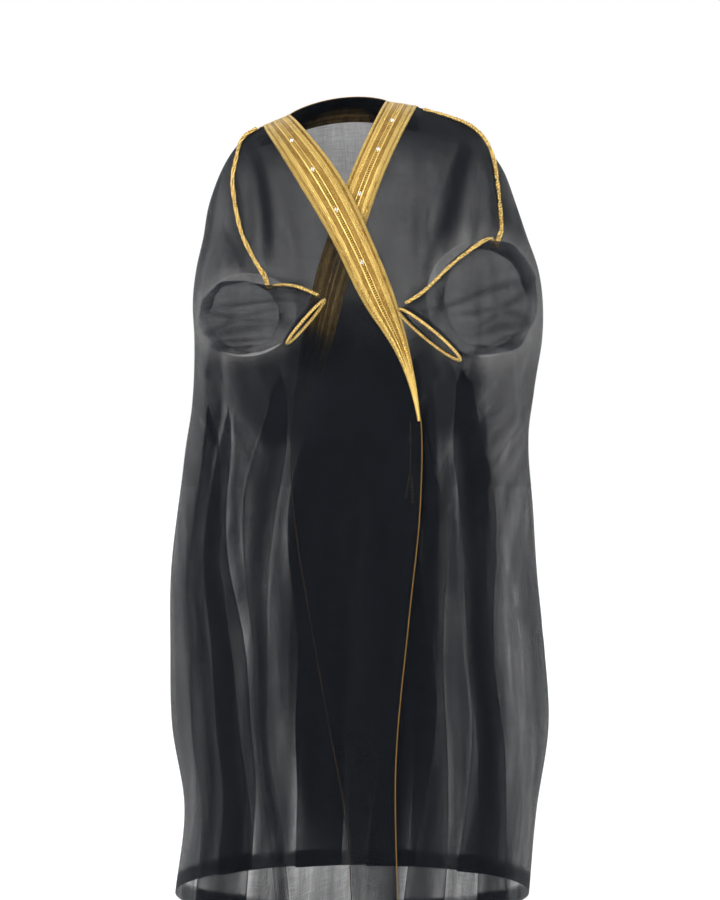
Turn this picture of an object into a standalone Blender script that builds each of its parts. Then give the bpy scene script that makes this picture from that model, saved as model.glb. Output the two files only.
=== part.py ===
"""A bisht: a wide open cloak of sheer black cloth with gold bands and braids, in the form it has when worn.

The cloth is a thin wall through rings that go round the body, from the shoulder ridge (ring 0) to the hem.
A place on the cloth is a ring number, which may fall between two rings, and an angle round it: 0 at the
wearer's left side, 90 degrees at the middle of the front, 180 at the right side, 270 at the middle of the back.
The origin is between the shoulders at the foot of the neck, +Z is up and the front faces -Y.
"""
from collections import namedtuple
import math

import bmesh
import bpy
from mathutils.bvhtree import BVHTree
import numpy as np

# Cloth and trimming, in metres
WALL = 0.0015            # thickness of the cloth wall
SEAM = 0.0003            # gap that two sewn pieces keep
BAND_WALL = 0.0012       # thickness of the embroidered band
OVERLAP_LIFT = 0.008     # how far the crossed fronts stand off from their common form
SHOULDER_TILT = 0.005    # the left shoulder stands this much above the middle, the right this much below
NECK_CENTRE = -0.033     # middle of the neck opening along X
NECK_HALF = 0.088        # half its width at the shoulder ridge
NECK_BACK = 0.070        # how far the back of the neck opening lies behind the ridge
NECK_RISE = 0.022        # how far it stands above the ridge
SHOULDER_BRAID = (0.0045, 0.0030)  # half width and half thickness of the shoulder braid
BRAID_CLEAR = 0.0024     # how far the shoulder braid clears the cloth between its stitches
CUFF_BRAID = 0.0036      # radius of the cuff braid
EDGE_CORD = 0.0015       # radius of the cord on the front edges
TIE_CORD = 0.0010        # radius of the tie's string

# The tie behind the right front: where its string leaves the edge, its bead, its knot and its tassels' feet
TIE_X, TIE_TOP, TIE_BEAD, TIE_KNOT = 0.0906, -0.562, -0.590, -0.648
BEAD_HALF = 0.0045
TASSEL_APART = 0.0021    # half the distance between the tassels' tops
TASSEL_FEET = ((0.0835, -0.693), (0.0935, -0.699))
TIE_DEPTH = 0.0055       # how far the string hangs behind the front's outer face
BEAD_PROFILE = ((0.0, 0.0018), (0.25, 0.0032), (0.5, 0.0035), (0.75, 0.0032), (1.0, 0.0018))
TASSEL_PROFILE = ((0.0, 0.0008), (0.06, 0.0018), (0.14, 0.0020), (0.22, 0.0014), (0.30, 0.0021),
                  (0.65, 0.0026), (1.0, 0.0028))

# Rings of the worn form, from the shoulder ridge to the hem
Ring = namedtuple("Ring", "z_mid z_side x_right x_left front back")
RINGS = (
    Ring(0.018, -0.040, -0.203, 0.222, 0.000, 0.000),
    Ring(-0.006, -0.075, -0.229, 0.240, 0.046, 0.060),
    Ring(-0.052, -0.115, -0.249, 0.265, 0.088, 0.100),
    Ring(-0.112, -0.170, -0.267, 0.285, 0.120, 0.125),
    Ring(-0.182, -0.225, -0.276, 0.304, 0.139, 0.138),
    Ring(-0.255, -0.285, -0.289, 0.325, 0.150, 0.142),
    Ring(-0.330, -0.345, -0.295, 0.333, 0.158, 0.142),
    Ring(-0.410, -0.415, -0.292, 0.331, 0.165, 0.142),
    Ring(-0.500, -0.500, -0.294, 0.316, 0.174, 0.146),
    Ring(-0.600, -0.600, -0.304, 0.303, 0.182, 0.152),
    Ring(-0.710, -0.710, -0.321, 0.310, 0.188, 0.160),
    Ring(-0.830, -0.830, -0.334, 0.318, 0.193, 0.168),
    Ring(-0.960, -0.960, -0.335, 0.333, 0.198, 0.178),
    Ring(-1.100, -1.100, -0.332, 0.343, 0.203, 0.187),
    Ring(-1.250, -1.250, -0.310, 0.322, 0.208, 0.195),
    Ring(-1.400, -1.400, -0.326, 0.308, 0.213, 0.203),
)
HEM = len(RINGS) - 1
# Rings at which the cloth has a row of points: closer together at the shoulders and at the bands' points
ROWS = (0.0, 0.6, 1.2, 2.0, 3.0, 4.0, 5.0, 6.0, 7.0, 8.0, 8.6, 9.3, 10.0, 11.0, 12.0, 13.0, 14.0, 15.0)

# Front edges: how far across each front reaches, and the width of its band, by height
Edge = namedtuple("Edge", "z x band")
RIGHT_EDGE = (
    Edge(0.000, -0.123, 0.054), Edge(-0.148, -0.021, 0.076), Edge(-0.246, 0.024, 0.067),
    Edge(-0.357, 0.067, 0.056), Edge(-0.440, 0.088, 0.024), Edge(-0.555, 0.105, 0.004),
    Edge(-0.700, 0.104, 0.004), Edge(-0.892, 0.085, 0.004), Edge(-1.130, 0.063, 0.004),
    Edge(-1.400, 0.066, 0.004),
)
LEFT_EDGE = (
    Edge(0.021, 0.053, 0.058), Edge(-0.150, -0.019, 0.058), Edge(-0.324, -0.076, 0.058),
    Edge(-0.480, -0.104, 0.040), Edge(-0.570, -0.112, 0.004), Edge(-0.678, -0.111, 0.004),
    Edge(-0.891, -0.080, 0.004), Edge(-1.079, -0.046, 0.004), Edge(-1.250, -0.015, 0.004),
    Edge(-1.400, -0.006, 0.004),
)
BAND_END = 8.6           # ring at which the bands come to their points
BAND_STRIPS = 3          # columns of points across a band
NECK_BAND_END = 1.2      # ring to which the band round the back of the neck comes down
NECK_BAND_COLUMNS = (2, 37)  # first and last column of the back that it covers

# Folds where the cloth doubles back on itself. A place is a share of the panel's way round, from its first
# edge to its last; an overlap is the width that lies threefold, in metres. Both are given at five rings.
FOLD_RINGS = (0, 7.4, 9, 12, 15)
Fold = namedtuple("Fold", "places overlaps depth")
RIGHT_FOLDS = (
    Fold((0.54, 0.402, 0.453, 0.417, 0.330), (0.000, 0.000, 0.056, 0.022, 0.020), 0.009),
    Fold((0.76, 0.730, 0.687, 0.610, 0.571), (0.000, 0.000, 0.034, 0.085, 0.100), 0.010),
)
LEFT_FOLDS = (
    Fold((0.30, 0.360, 0.407, 0.334, 0.240), (0.000, 0.000, 0.030, 0.045, 0.070), 0.009),
    Fold((0.55, 0.475, 0.570, 0.508, 0.542), (0.000, 0.000, 0.060, 0.042, 0.055), 0.010),
)
BACK_FOLDS = (
    Fold((0.20, 0.200, 0.202, 0.232, 0.254), (0.000, 0.000, 0.040, 0.075, 0.080), 0.010),
    Fold((0.42, 0.425, 0.427, 0.429, 0.428), (0.000, 0.000, 0.090, 0.100, 0.090), 0.011),
    Fold((0.57, 0.575, 0.580, 0.583, 0.580), (0.000, 0.000, 0.090, 0.100, 0.090), 0.011),
    Fold((0.78, 0.760, 0.737, 0.743, 0.750), (0.000, 0.000, 0.040, 0.045, 0.055), 0.010),
)
# One fold in section: along the cloth in overlaps, and outwards in depths
Turn = namedtuple("Turn", "along out")
FOLD_SECTION = (
    Turn(-0.75, 0.00), Turn(-0.15, 0.55), Turn(0.40, 1.00), Turn(0.50, 0.72), Turn(0.36, 0.42),
    Turn(0.00, 0.00), Turn(-0.36, -0.42), Turn(-0.50, -0.72), Turn(-0.40, -1.00), Turn(0.15, -0.55),
    Turn(0.75, 0.00),
)
FLAT_SHARE = 0.045       # width of a fold's columns where it has opened out flat

# Soft folds that fan out from the shoulders and hang at the elbows
Crease = namedtuple("Crease", "panel place_top place_low first last width depth")
CREASES = (
    Crease("right", 0.55, 0.62, 1.0, 7.5, 0.07, 0.012),
    Crease("right", 0.80, 0.86, 1.5, 6.5, 0.06, -0.010),
    Crease("left", 0.55, 0.48, 1.0, 7.5, 0.07, 0.013),
    Crease("left", 0.76, 0.62, 1.0, 7.0, 0.06, -0.012),
    Crease("left", 0.90, 0.84, 7.0, 14.0, 0.06, 0.010),
    Crease("back", 0.30, 0.24, 1.5, 9.0, 0.05, 0.012),
    Crease("back", 0.50, 0.50, 2.0, 9.0, 0.05, 0.010),
    Crease("back", 0.70, 0.76, 1.5, 9.0, 0.05, 0.012),
)

# Sleeves: sections round the bent forearm, each by its outer and inner side in plan, its top and bottom, and
# how far its top leans towards the cuff's tip
Cut = namedtuple("Cut", "outer_x outer_y inner_x inner_y top bottom lean")
RIGHT_SLEEVE = (
    Cut(-0.262, 0.0, -0.120, 0.0, -0.318, -0.430, 0.000),
    Cut(-0.276, -0.118, -0.134, -0.168, -0.316, -0.440, 0.000),
    Cut(-0.252, -0.176, -0.124, -0.181, -0.324, -0.447, 0.004),
    Cut(-0.196, -0.222, -0.108, -0.190, -0.333, -0.440, 0.010),
    Cut(-0.140, -0.248, -0.096, -0.200, -0.340, -0.432, 0.020),
    Cut(-0.092, -0.262, -0.084, -0.210, -0.357, -0.429, 0.031),
)
LEFT_SLEEVE = (
    Cut(0.298, 0.0, 0.135, 0.0, -0.262, -0.430, 0.000),
    Cut(0.314, -0.122, 0.150, -0.172, -0.248, -0.442, 0.000),
    Cut(0.292, -0.184, 0.142, -0.188, -0.260, -0.447, -0.006),
    Cut(0.238, -0.228, 0.128, -0.196, -0.298, -0.450, -0.018),
    Cut(0.184, -0.254, 0.118, -0.204, -0.346, -0.453, -0.036),
    Cut(0.134, -0.270, 0.112, -0.212, -0.372, -0.457, -0.050),
)

SLEEVE_SIDES = 16
ARMHOLE_REACH = 0.007    # how far a sleeve runs straight on each side of the front that it passes
CUTTER_REACH = (-0.30, -0.02)  # the armholes' cutters, from front to back

# Routes of the shoulder braids over the fronts: across and down, from the band to the sleeve
RIGHT_BRAID = ((-0.180, -0.030), (-0.203, -0.048), (-0.212, -0.090), (-0.217, -0.134), (-0.214, -0.170),
               (-0.200, -0.226), (-0.178, -0.276), (-0.160, -0.306))
LEFT_BRAID = ((0.118, 0.000), (0.165, -0.012), (0.207, -0.030), (0.232, -0.060), (0.240, -0.082),
              (0.248, -0.130), (0.252, -0.185), (0.251, -0.228))
# Their routes over the sleeves' tops, in plan, to just short of the cuffs
RIGHT_OVER = ((-0.166, -0.172), (-0.142, -0.206), (-0.098, -0.224), (-0.067, -0.233))
LEFT_OVER = ((0.240, -0.125), (0.232, -0.147), (0.211, -0.186), (0.165, -0.212), (0.115, -0.229),
             (0.083, -0.238))

BLACK_CLOTH = (0.010, 0.011, 0.012, 1.0)
GOLD_BAND = (0.60, 0.34, 0.07, 1.0)
GOLD_BRAID = (0.66, 0.42, 0.12, 1.0)


def follow(knots, values, at):
    """Height at `at` of a smooth curve through the knots, whose slopes come from their neighbours."""
    knots = np.asarray(knots, float)
    values = np.asarray(values, float)
    slopes = np.gradient(values, knots)
    at = min(max(at, knots.min()), knots.max())
    order = np.argsort(knots)
    knots, values, slopes = knots[order], values[order], slopes[order]
    i = min(int(np.searchsorted(knots, at, side="right")) - 1, len(knots) - 2)
    i = max(i, 0)
    span = knots[i + 1] - knots[i]
    t = (at - knots[i]) / span
    return ((2 * t**3 - 3 * t**2 + 1) * values[i] + (t**3 - 2 * t**2 + t) * span * slopes[i]
            + (3 * t**2 - 2 * t**3) * values[i + 1] + (t**3 - t**2) * span * slopes[i + 1])


def step(value):
    """Smooth step from 0 to 1."""
    value = min(max(value, 0.0), 1.0)
    return value * value * (3.0 - 2.0 * value)


def ring_at(row):
    """The worn form's sizes at a ring number."""
    numbers = range(len(RINGS))
    return Ring(*(follow(numbers, [getattr(ring, name) for ring in RINGS], row) for name in Ring._fields))


def height(ring, cosine):
    return ring.z_mid + (ring.z_side - ring.z_mid) * cosine**2


def edge_angle(row, edge):
    """Angle at which a front ends, from the height of the cloth there."""
    ring = ring_at(row)
    middle, half = (ring.x_left + ring.x_right) / 2, (ring.x_left - ring.x_right) / 2
    z = ring.z_mid
    for _ in range(6):
        x = follow([e.z for e in edge], [e.x for e in edge], z)
        cosine = min(max((x - middle) / half, -1.0), 1.0)
        z = height(ring, cosine)
    return math.acos(cosine)


def stand_off(panel, row, x):
    """How far the crossed fronts leave their common form, to lie over and under each other."""
    fade = step(row / 2.5)
    if panel == "right":
        return OVERLAP_LIFT * fade * step((x + 0.20) / 0.10)
    if panel == "left":
        return -OVERLAP_LIFT * fade * step((0.22 - x) / 0.10)
    return 0.0


def crease_lift(panel, row, place):
    lift = 0.0
    for crease in CREASES:
        if crease.panel != panel or not crease.first < row < crease.last:
            continue
        share = (row - crease.first) / (crease.last - crease.first)
        centre = crease.place_top + (crease.place_low - crease.place_top) * share
        bell = math.exp(-((place - centre) / crease.width) ** 2)
        side_fade = step(place / 0.08) * step((1.0 - place) / 0.08)
        lift += crease.depth * bell * math.sin(math.pi * share) * side_fade
    return lift


def cloth_point(panel, row, angle, lift=0.0):
    """A point of the cloth's outer face."""
    ring = ring_at(row)
    middle, half = (ring.x_left + ring.x_right) / 2, (ring.x_left - ring.x_right) / 2
    depth = ring.back if panel == "back" else ring.front
    cosine, sine = math.cos(angle), abs(math.sin(angle))
    x = middle + half * cosine
    y = SEAM / 2 + depth * sine
    z = height(ring, cosine) + SHOULDER_TILT * cosine * step(1.0 - row / 6.0)
    outward = np.array((max(depth, 0.02) * cosine, half * sine, 0.0))
    outward /= np.linalg.norm(outward)
    lift += stand_off(panel, row, x)
    if panel == "back":
        across = (x - NECK_CENTRE) / NECK_HALF
        if abs(across) < 1.0:
            neck = math.sqrt(1.0 - across**2) * step(1.0 - row / 3.0)
            y += NECK_BACK * neck * (1.0 - step(row / 3.0))
            z += NECK_RISE * neck
        return np.array((x, y, z)) + outward * lift
    return np.array((x, -y, z)) + outward * (1, -1, 1) * lift


def panel_span(panel, row):
    """Angles of a panel's first and last edge."""
    if panel == "right":
        return edge_angle(row, RIGHT_EDGE), math.pi
    if panel == "left":
        return edge_angle(row, LEFT_EDGE), 0.0
    return math.pi, 2.0 * math.pi


def travel(panel, row, angle):
    """Metres along the cloth for each radian of angle."""
    ring = ring_at(row)
    half = (ring.x_left - ring.x_right) / 2
    depth = ring.back if panel == "back" else ring.front
    return math.hypot(half * math.sin(angle), depth * math.cos(angle))


def band_turn(panel, row, first):
    """Angle that the band takes up from the front's edge."""
    edge = RIGHT_EDGE if panel == "right" else LEFT_EDGE
    z = cloth_point(panel, row, first)[2]
    width = follow([e.z for e in edge], [e.band for e in edge], z)
    ring = ring_at(row)
    return width / max((ring.x_left - ring.x_right) / 2 * math.sin(first), 0.05)


def panel_row(panel, row, folds, plain):
    """One row of points across a panel: the band's strips on a front, then plain stretches between folds
    and each fold's doubled section."""
    first, last = panel_span(panel, row)
    sign = 1.0 if last > first else -1.0
    marks = []
    for fold in folds:
        centre = first + (last - first) * follow(FOLD_RINGS, fold.places, row)
        overlap = max(follow(FOLD_RINGS, fold.overlaps, row), 0.0)
        doubled = step(overlap / 0.02)
        speed = max(travel(panel, row, centre), 0.06)
        room = abs(last - first) * FLAT_SHARE
        shape = []
        for k, turn in enumerate(FOLD_SECTION):
            flat = (k / (len(FOLD_SECTION) - 1) - 0.5) * 2.0 * room
            along = flat * (1.0 - doubled) + doubled * turn.along * overlap / speed
            shape.append((centre + sign * along, turn.out * fold.depth * doubled))
        marks.append(shape)
    row_points = []
    start = first
    if panel != "back":
        start = first + sign * band_turn(panel, row, first)
        row_points = [(first + (start - first) * k / BAND_STRIPS, 0.0) for k in range(BAND_STRIPS)]
    for count, shape in zip(plain, marks + [None]):
        end = shape[0][0] if shape else last
        for k in range(count):
            row_points.append((start + (end - start) * k / count, 0.0))
        if shape:
            row_points.extend(shape[:-1])
            start = shape[-1][0]
    row_points.append((last, 0.0))
    result = []
    for angle, lift in row_points:
        place = (angle - first) / (last - first)
        result.append(cloth_point(panel, row, angle, lift + crease_lift(panel, row, place)))
    return result


def grid_normals(grid):
    """Normals of a grid of points, from its rows and columns."""
    down = np.gradient(grid, axis=0)
    across = np.gradient(grid, axis=1)
    normal = np.cross(across, down)
    return normal / np.maximum(np.linalg.norm(normal, axis=2, keepdims=True), 1e-9)


def new_object(name, mesh_data, material):
    """An object from mesh data that forms one closed body; its faces are turned outwards."""
    bmesh.ops.recalc_face_normals(mesh_data, faces=mesh_data.faces[:])
    if mesh_data.calc_volume(signed=True) < 0:
        bmesh.ops.reverse_faces(mesh_data, faces=mesh_data.faces[:])
    mesh = bpy.data.meshes.new(name)
    mesh_data.to_mesh(mesh)
    mesh_data.free()
    thing = bpy.data.objects.new(name, mesh)
    bpy.context.collection.objects.link(thing)
    mesh.materials.append(material)
    return thing


def wall_between(name, outer, inner, material, closed=False):
    """A closed wall between two grids of points; the rows are closed into rings where asked."""
    rows, columns, _ = outer.shape
    bm = bmesh.new()
    faces = [[[bm.verts.new(p) for p in line] for line in grid] for grid in (outer, inner)]
    last = columns if closed else columns - 1

    def quad(a, b, c, d):
        bm.faces.new((a, b, c))
        bm.faces.new((a, c, d))

    for side in faces:
        for r in range(rows - 1):
            for c in range(last):
                d = (c + 1) % columns
                quad(side[r][c], side[r + 1][c], side[r + 1][d], side[r][d])
    for r in (0, rows - 1):
        for c in range(last):
            d = (c + 1) % columns
            quad(faces[0][r][c], faces[0][r][d], faces[1][r][d], faces[1][r][c])
    if not closed:
        for c in (0, columns - 1):
            for r in range(rows - 1):
                quad(faces[0][r][c], faces[0][r + 1][c], faces[1][r + 1][c], faces[1][r][c])
    return new_object(name, bm, material)


def sewing_normals(grid, panel):
    """Normals that keep the shoulder and side seams' faces square to Y, so that sewn edges stay apart."""
    normal = grid_normals(grid)
    middle = np.array((0.0, 0.0, grid[..., 2].mean()))
    flipped = np.sum(normal[..., :2] * (grid - middle)[..., :2], axis=2).mean() < 0
    if flipped:
        normal = -normal
    seams = [(0, slice(None)), (slice(None), -1)]
    if panel == "back":
        seams.append((slice(None), 0))
    for where in seams:
        normal[where][..., 1] = 0.0
        normal[where] /= np.maximum(np.linalg.norm(normal[where], axis=-1, keepdims=True), 1e-9)
    return normal


def panel_grid(panel, folds, plain):
    """A panel's outer points, with their normals."""
    grid = np.array([panel_row(panel, row, folds, plain) for row in ROWS])
    return grid, sewing_normals(grid, panel)


def make_panel(name, grid, normal, material):
    return wall_between(name, grid, grid - normal * WALL, material)


def make_band(name, grid, normal, material):
    """A band lies on its panel: the panel's own points, moved out."""
    return wall_between(name, grid + normal * (SEAM + BAND_WALL), grid + normal * SEAM, material)


def principled(name, colour, roughness, metallic):
    material = bpy.data.materials.new(name)
    material.use_nodes = True
    shader = material.node_tree.nodes["Principled BSDF"]
    shader.inputs["Base Color"].default_value = colour
    shader.inputs["Roughness"].default_value = roughness
    shader.inputs["Metallic"].default_value = metallic
    return material


def surface_at(panel, x, z, off=0.0):
    """The point of a front or of the back at a given place across and height, and its outward direction."""
    first, last = panel_span(panel, 3.0)
    row, angle = 3.0, (first + last) / 2

    def at(r, a):
        start, end = panel_span(panel, r)
        return cloth_point(panel, r, a, crease_lift(panel, r, (a - start) / (end - start)))

    small = 0.01
    for _ in range(30):
        point = at(row, angle)
        by_row = (at(row + small, angle) - point) / small
        by_angle = (at(row, angle + small) - point) / small
        system = np.array(((by_row[0], by_angle[0]), (by_row[2], by_angle[2])))
        move = np.linalg.lstsq(system, np.array((x - point[0], z - point[2])), rcond=1e-4)[0]
        row = min(max(row + float(np.clip(move[0], -0.6, 0.6)), 0.0), HEM)
        angle += float(np.clip(move[1], -0.25, 0.25))
    outward = np.cross(by_angle, by_row)
    outward /= np.linalg.norm(outward)
    point = at(row, angle)
    inside = np.array((0.0, 0.0, point[2] - 0.05))
    if np.dot(outward, point - inside) < 0:
        outward = -outward
    return point + outward * off, outward


def through(points, count):
    """Evenly numbered points on a smooth curve through a few given ones."""
    points = np.asarray(points, float)
    knots = np.concatenate(((0.0,), np.cumsum(np.linalg.norm(np.diff(points[:, :3], axis=0), axis=1))))
    places = np.linspace(0.0, knots[-1], count)
    return np.array([[follow(knots, points[:, k], at) for k in range(points.shape[1])] for at in places])


def sleeve_ring(cut, sides):
    turns = [2.0 * math.pi * k / sides for k in range(sides)]
    outer, inner = np.array((cut.outer_x, cut.outer_y)), np.array((cut.inner_x, cut.inner_y))
    middle, half = (outer + inner) / 2, (outer - inner) / 2
    z_middle, z_half = (cut.top + cut.bottom) / 2, (cut.top - cut.bottom) / 2
    return np.array([(*(middle + half * math.cos(t) + (cut.lean * math.sin(t), 0.0)),
                      z_middle + z_half * math.sin(t)) for t in turns])


def sleeve_grid(panel, cuts):
    """Rings of a sleeve: two where it passes the armhole, then one for each section."""
    armhole = sleeve_ring(cuts[0], SLEEVE_SIDES)
    behind, before = armhole.copy(), armhole.copy()
    for k, (x, _, z) in enumerate(armhole):
        point, _ = surface_at(panel, x, z)
        behind[k, 1] = point[1] + ARMHOLE_REACH
        before[k, 1] = point[1] - ARMHOLE_REACH
    return np.array([behind, before] + [sleeve_ring(cut, SLEEVE_SIDES) for cut in cuts[1:]])


def ring_normals(grid):
    """Normals of a tube's rings, which close on themselves, pointing away from the middle of each ring."""
    across = np.roll(grid, -1, axis=1) - np.roll(grid, 1, axis=1)
    down = np.gradient(grid, axis=0)
    normal = np.cross(across, down)
    normal /= np.maximum(np.linalg.norm(normal, axis=2, keepdims=True), 1e-9)
    away = grid - grid.mean(axis=1, keepdims=True)
    if np.sum(normal * away) < 0:
        normal = -normal
    return normal


def make_sleeve(name, grid, material):
    normal = ring_normals(grid)
    normal[:2, :, 1] = 0.0
    normal[:2] /= np.linalg.norm(normal[:2], axis=2, keepdims=True)
    return wall_between(name, grid, grid - normal * WALL, material, closed=True)


def cut_armhole(front, cut):
    """An opening straight through the front, a seam's gap larger than the sleeve that passes it."""
    centre = np.array(((cut.outer_x + cut.inner_x) / 2, (cut.top + cut.bottom) / 2))
    bm = bmesh.new()
    ends = []
    for y in CUTTER_REACH:
        ring = []
        for x, _, z in sleeve_ring(cut, SLEEVE_SIDES):
            away = np.array((x, z)) - centre
            across, up = centre + away * (1.0 + 2.0 * SEAM / np.linalg.norm(away))
            ring.append(bm.verts.new((across, y, up)))
        ends.append(ring)
        bm.faces.new(ring)
    for k in range(SLEEVE_SIDES):
        n = (k + 1) % SLEEVE_SIDES
        bm.faces.new((ends[0][k], ends[0][n], ends[1][n], ends[1][k]))
    cutter = new_object(front.name + "_armhole", bm, front.data.materials[0])
    cutter.hide_render = True
    cutter.display_type = "WIRE"
    opening = front.modifiers.new("armhole", "BOOLEAN")
    opening.operation = "DIFFERENCE"
    opening.object = cutter


def sweep(name, points, outward, half_width, half_height, material, sides=8, closed=False):
    """A braid of oval section along points, flat on the surface whose outward directions are given."""
    points, outward = np.asarray(points), np.asarray(outward)
    if closed:
        along = np.roll(points, -1, axis=0) - np.roll(points, 1, axis=0)
    else:
        along = np.gradient(points, axis=0)
    across = np.cross(along, outward)
    across /= np.linalg.norm(across, axis=1, keepdims=True)
    up = np.cross(across, along)
    up /= np.linalg.norm(up, axis=1, keepdims=True)
    bm = bmesh.new()
    rings = []
    for point, side, rise in zip(points, across, up):
        turns = [2.0 * math.pi * k / sides for k in range(sides)]
        rings.append([bm.verts.new(point + side * half_width * math.cos(t) + rise * half_height * math.sin(t))
                      for t in turns])
    pairs = list(zip(rings, rings[1:])) + ([(rings[-1], rings[0])] if closed else [])
    for one, two in pairs:
        for k in range(sides):
            bm.faces.new((one[k], two[k], two[(k + 1) % sides], one[(k + 1) % sides]))
    if not closed:
        bm.faces.new(rings[0])
        bm.faces.new(rings[-1])
    return new_object(name, bm, material)


def skin(grid, closed=False):
    """The facets of a grid of points, to lay a braid on."""
    rows, columns, _ = grid.shape
    facets = []
    for r in range(rows - 1):
        for c in range(columns if closed else columns - 1):
            d = (c + 1) % columns
            a, b, e, f = (r * columns + c, (r + 1) * columns + c, (r + 1) * columns + d, r * columns + d)
            facets += [(a, b, e), (a, e, f)]
    return BVHTree.FromPolygons([tuple(p) for p in grid.reshape(-1, 3)], facets)


def make_shoulder_braid(name, front_grid, route, sleeve, over, material):
    """Braid over the shoulder seam, down the front of the arm and along the top of the sleeve."""
    half_width, half_height = SHOULDER_BRAID
    front, tube = skin(front_grid), skin(sleeve, closed=True)
    places = []
    for x, z in through(route, 40):
        point, normal, _, _ = front.ray_cast((x, -1.0, z), (0.0, 1.0, 0.0))
        if point is None:
            point, normal, _, _ = front.find_nearest((x, 0.0, z))
        places.append((*point, *(normal if normal.y < 0 else -normal)))
    for x, y in through(over, 16):
        point, normal, _, _ = tube.ray_cast((x, y, 1.0), (0.0, 0.0, -1.0))
        places.append((*point, *(normal if normal.z > 0 else -normal)))
    line = np.array(places)
    outward = line[:, 3:].copy()
    for _ in range(3):
        outward[1:-1] = (outward[:-2] + outward[1:-1] + outward[2:]) / 3
    outward /= np.linalg.norm(outward, axis=1, keepdims=True)
    return sweep(name, line[:, :3] + outward * (half_height + BRAID_CLEAR), outward, half_width, half_height,
                 material, sides=6)


def make_cuff_braid(name, grid, material):
    """Braid sewn round the sleeve's open end."""
    end, quarter = grid[-1], grid.shape[1] // 4
    beyond = np.cross(end[0] - end[2 * quarter], end[quarter] - end[3 * quarter])
    beyond /= np.linalg.norm(beyond)
    if np.dot(beyond, (grid[-1] - grid[-2]).mean(axis=0)) < 0:
        beyond = -beyond
    normal = ring_normals(grid)[-1]
    points = end + beyond * (CUFF_BRAID + 3.0 * SEAM) - normal * WALL / 2
    return sweep(name, points, normal, CUFF_BRAID, CUFF_BRAID, material, closed=True)


def make_edge_cord(name, grid, normal, material):
    """Thin cord beside the front edge, from the band's point to the hem: the edge's own points, moved off."""
    edge, away = grid[ROWS.index(BAND_END):, 0], normal[ROWS.index(BAND_END):, 0]
    inwards = grid[ROWS.index(BAND_END):, 1] - edge
    down = np.gradient(edge, axis=0)
    down /= np.linalg.norm(down, axis=1, keepdims=True)
    inwards -= down * np.sum(inwards * down, axis=1, keepdims=True)
    inwards /= np.linalg.norm(inwards, axis=1, keepdims=True)
    points = edge - inwards * (EDGE_CORD + 2.0 * SEAM) - away * WALL / 2
    return sweep(name, points, away, EDGE_CORD, EDGE_CORD, material, sides=6)


def make_string(name, points, material):
    curve = bpy.data.curves.new(name, "CURVE")
    curve.dimensions = "3D"
    curve.bevel_depth = TIE_CORD
    curve.bevel_resolution = 2
    curve.use_fill_caps = True
    spline = curve.splines.new("POLY")
    spline.points.add(len(points) - 1)
    for place, point in zip(spline.points, points):
        place.co = (*point, 1.0)
    thing = bpy.data.objects.new(name, curve)
    bpy.context.collection.objects.link(thing)
    curve.materials.append(material)
    return thing


def turned(name, top, foot, profile, material, sides=10):
    """A solid of revolution between two points; the profile gives shares of its length and radii."""
    top, foot = np.array(top), np.array(foot)
    bm = bmesh.new()
    rings = []
    for share, radius in profile:
        centre = top + (foot - top) * share
        rings.append([bm.verts.new(centre + np.array((math.cos(t), math.sin(t), 0.0)) * radius)
                      for t in (2.0 * math.pi * k / sides for k in range(sides))])
    for one, two in zip(rings, rings[1:]):
        for k in range(sides):
            bm.faces.new((one[k], two[k], two[(k + 1) % sides], one[(k + 1) % sides]))
    bm.faces.new(rings[0])
    bm.faces.new(rings[-1])
    return new_object(name, bm, material)


def make_tie(front_grid, material):
    """The tie hangs along the front's inner face, just clear of it."""
    front = skin(front_grid)
    gap = 0.0004

    def hang(x, z):
        y_top, y_foot = (front.ray_cast((TIE_X, -1.0, at), (0.0, 1.0, 0.0))[0].y
                         for at in (TIE_TOP, TASSEL_FEET[-1][1]))
        share = (z - TIE_TOP) / (TASSEL_FEET[-1][1] - TIE_TOP)
        return x, y_top + (y_foot - y_top) * share + TIE_DEPTH, z

    def line(z_high, z_low, count):
        return [hang(TIE_X, z_high + (z_low - z_high) * k / (count - 1)) for k in range(count)]

    make_string("tie_string_upper", line(TIE_TOP, TIE_BEAD + BEAD_HALF + gap, 6), material)
    turned("tie_bead", hang(TIE_X, TIE_BEAD + BEAD_HALF), hang(TIE_X, TIE_BEAD - BEAD_HALF),
           BEAD_PROFILE, material)
    make_string("tie_string_lower", line(TIE_BEAD - BEAD_HALF - gap, TIE_KNOT, 10), material)
    for k, (x, z) in enumerate(TASSEL_FEET):
        top_x = TIE_X + (TASSEL_APART if k else -TASSEL_APART)
        turned(f"tie_tassel_{k + 1}", hang(top_x, TIE_KNOT - gap), hang(x, z), TASSEL_PROFILE, material)


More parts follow.
